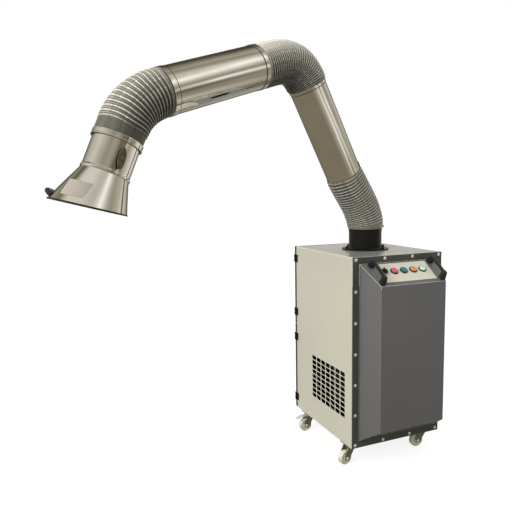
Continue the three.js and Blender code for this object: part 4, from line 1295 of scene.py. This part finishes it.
# What stands at each azimuth, from straight down (-90) to straight up (90), both in degrees.
ROOM = [
    (-180, {-90: LOW, -15: LOW, -5: HIGH, 90: HIGH}),
    (-110, {-90: LOW, -15: LOW, 0: HIGH, 30: DIM, 60: HIGH, 90: HIGH}),
    (-70, {-90: LOW, -25: LOW, -5: PALE, 10: DARK, 30: PALE, 90: PALE}),
    (-50, {-90: LOW, -15: DIM, -5: WINDOW, 5: DARK, 20: PALE, 35: WINDOW, 50: PALE, 90: PALE}),
    (-40, {-90: LOW, -20: DIM, -5: DARK, 5: WINDOW, 15: DIM, 40: WINDOW, 60: PALE, 75: DIM, 90: DIM}),
    (-20, {-90: LOW, -30: PALE, -20: DIM, 0: PALE, 15: DIM, 40: PALE, 65: DIM, 90: DIM}),
    (10, {-90: LOW, -40: DARK, -5: WINDOW, 10: PALE, 30: WINDOW, 60: PALE, 90: DIM}),
    (60, {-90: LOW, -30: PALE, -15: WINDOW, 0: PALE, 15: WINDOW, 50: DARK, 70: DIM, 90: DIM}),
    (100, {-90: LOW, -15: DIM, 0: PALE, 30: PALE, 45: DARK, 65: DIM, 90: PALE}),
    (130, {-90: LOW, -15: LOW, 0: PALE, 30: PALE, 50: DARK, 65: PALE, 90: HIGH}),
    (180, {-90: LOW, -15: LOW, -5: HIGH, 90: HIGH}),
]
# Warm darks, olive middle tones and nearly neutral lights.
ROOM_TINT = {0: (0, 0, 0), 60: (64, 58, 52), 104: (115, 107, 90), 160: (166, 161, 147), 205: (209, 206, 195),
             255: (255, 254, 250)}
AMBIENT_LOW, AMBIENT_HIGH = 0.12, 0.72


def ramp(nodes, value, stops):
    """A colour ramp over value, with the given {position: colour}."""
    made = nodes.node("ValToRGB", Fac=value)
    elements = made.color_ramp.elements
    elements.remove(elements[-1])
    for i, (position, color) in enumerate(stops.items()):
        element = elements.new(position) if i else elements[0]
        element.position = position
        element.color = color
    return made.outputs["Color"]


def reflections(nodes):
    """The reflected room as a colour: one brightness ramp for each azimuth, blended to the next one."""
    way = nodes.axes(nodes.node("TexCoord").outputs["Generated"])
    azimuth = nodes.math("ARCTAN2", way["Y"], way["X"])
    height = nodes.span(nodes.math("ARCSINE", way["Z"]), -math.pi / 2, math.pi / 2)
    level, before = None, None
    for turn, column in ROOM:
        greys = {(elevation + 90) / 180: (*[grey / 255] * 3, 1.0) for elevation, grey in column.items()}
        grey = ramp(nodes, height, greys)
        level = grey if level is None else nodes.mix(
            nodes.span(azimuth, math.radians(before), math.radians(turn)), level, grey)
        before = turn
    return ramp(nodes, level, {grey / 255: rgb(*color) for grey, color in ROOM_TINT.items()})


def world():
    """White to the camera, soft grey-white to diffuse surfaces, and the reflected room to polished ones."""
    made = bpy.data.worlds.new("studio")
    bpy.context.scene.world = made
    made.use_nodes = True
    made.node_tree.nodes.clear()
    nodes = Nodes(made.node_tree)
    up = nodes.axes(nodes.node("TexCoord").outputs["Generated"])["Z"]
    ambient = nodes.span(up, -0.5, 0.8, AMBIENT_LOW, AMBIENT_HIGH)
    plain = nodes.node("Background", Color=(1.0, 1.0, 0.98, 1.0), Strength=ambient)
    room = nodes.node("Background", Color=reflections(nodes), Strength=1.25)
    backdrop = nodes.node("Background", Color=(1.0, 1.0, 1.0, 1.0), Strength=1.0)
    ray = nodes.node("LightPath").outputs
    shiny = nodes.node("MixShader", _0=ray["Is Glossy Ray"], _1=plain.outputs[0], _2=room.outputs[0])
    seen = nodes.node("MixShader", _0=ray["Is Camera Ray"], _1=shiny.outputs[0], _2=backdrop.outputs[0])
    nodes.node("OutputWorld", Surface=seen.outputs[0])


def softbox(name, place, target, size, power):
    light = bpy.data.lights.new(name, "AREA")
    light.shape = "RECTANGLE"
    light.size, light.size_y = size
    light.energy = power
    light.color = (1.0, 0.98, 0.95)
    made = linked(name, light)
    made.rotation_euler = (Vector(target) - Vector(place)).to_track_quat("-Z", "Y").to_euler()
    made.location = place
    made.visible_glossy = False


def floor():
    """A wide, pale floor at the wheels, a little darker under the object."""
    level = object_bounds()[0].z
    half = 14.0
    mesh = bpy.data.meshes.new("studio_floor")
    mesh.from_pydata([(x, y, level) for x, y in blade(half, half, half)], [], [(0, 1, 2, 3)])
    shader = Shader("pale_studio_floor", Roughness=0.85, Emission_Color=(1, 1, 1, 1), Emission_Strength=0.84)
    shader.set(Base_Color=shader.mix(shader.cloud(0.8, 3), (0.26, 0.26, 0.258, 1), (0.3, 0.3, 0.298, 1)))
    mesh.materials.append(shader.material)
    made = linked("studio_floor", mesh)
    made.visible_glossy = False
    made.visible_diffuse = False
    made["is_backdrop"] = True


def camera():
    """A long view from the front left, a little above the cabinet's middle."""
    azimuth, drop, roll = math.radians(24.71), math.radians(7.155), math.radians(-0.616)
    ahead = Vector((math.sin(azimuth) * math.cos(drop), math.cos(azimuth) * math.cos(drop), -math.sin(drop)))
    level = Vector((math.cos(azimuth), -math.sin(azimuth), 0))
    up = level.cross(ahead)
    right = level * math.cos(roll) + up * math.sin(roll)
    above = up * math.cos(roll) - level * math.sin(roll)
    data = bpy.data.cameras.new("camera")
    data.sensor_width = 36.0
    data.lens = 39.56
    data.shift_x = -0.0597
    data.shift_y = 0.0071
    data.clip_end = 60.0
    made = linked("camera", data)
    turned = Matrix((right, above, -ahead)).transposed().to_4x4()
    made.matrix_world = Matrix.Translation((-1.2481, -1.9437, 0.9660)) @ turned
    bpy.context.scene.camera = made


def studio():
    world()
    floor()
    softbox("key_left", (-3.6, -1.3, 2.2), (0, 0, 0.5), (2.2, 2.6), 150)
    softbox("fill_front", (0.8, -3.6, 1.6), (0, 0, 0.5), (2.4, 1.8), 8)
    softbox("top_light", (-0.6, 0.4, 3.6), (-0.4, 0, 0.9), (2.4, 2.4), 22)
    camera()
    view = bpy.context.scene.view_settings
    view.view_transform = "Standard"
    view.look = "None"


cabinet_shell()
front_cover()
cover_screws()
front_controls()
rear_doors()
for corner in ("front_left", "front_right", "rear_left", "rear_right"):
    caster(corner, brake=corner.startswith("rear"))
inlet_collar()
swivel_cuff()
tubes()
hoses()
clamps()
hood()
hood_sticker()
hood_handle()
damper()
inside_pieces()
studio()
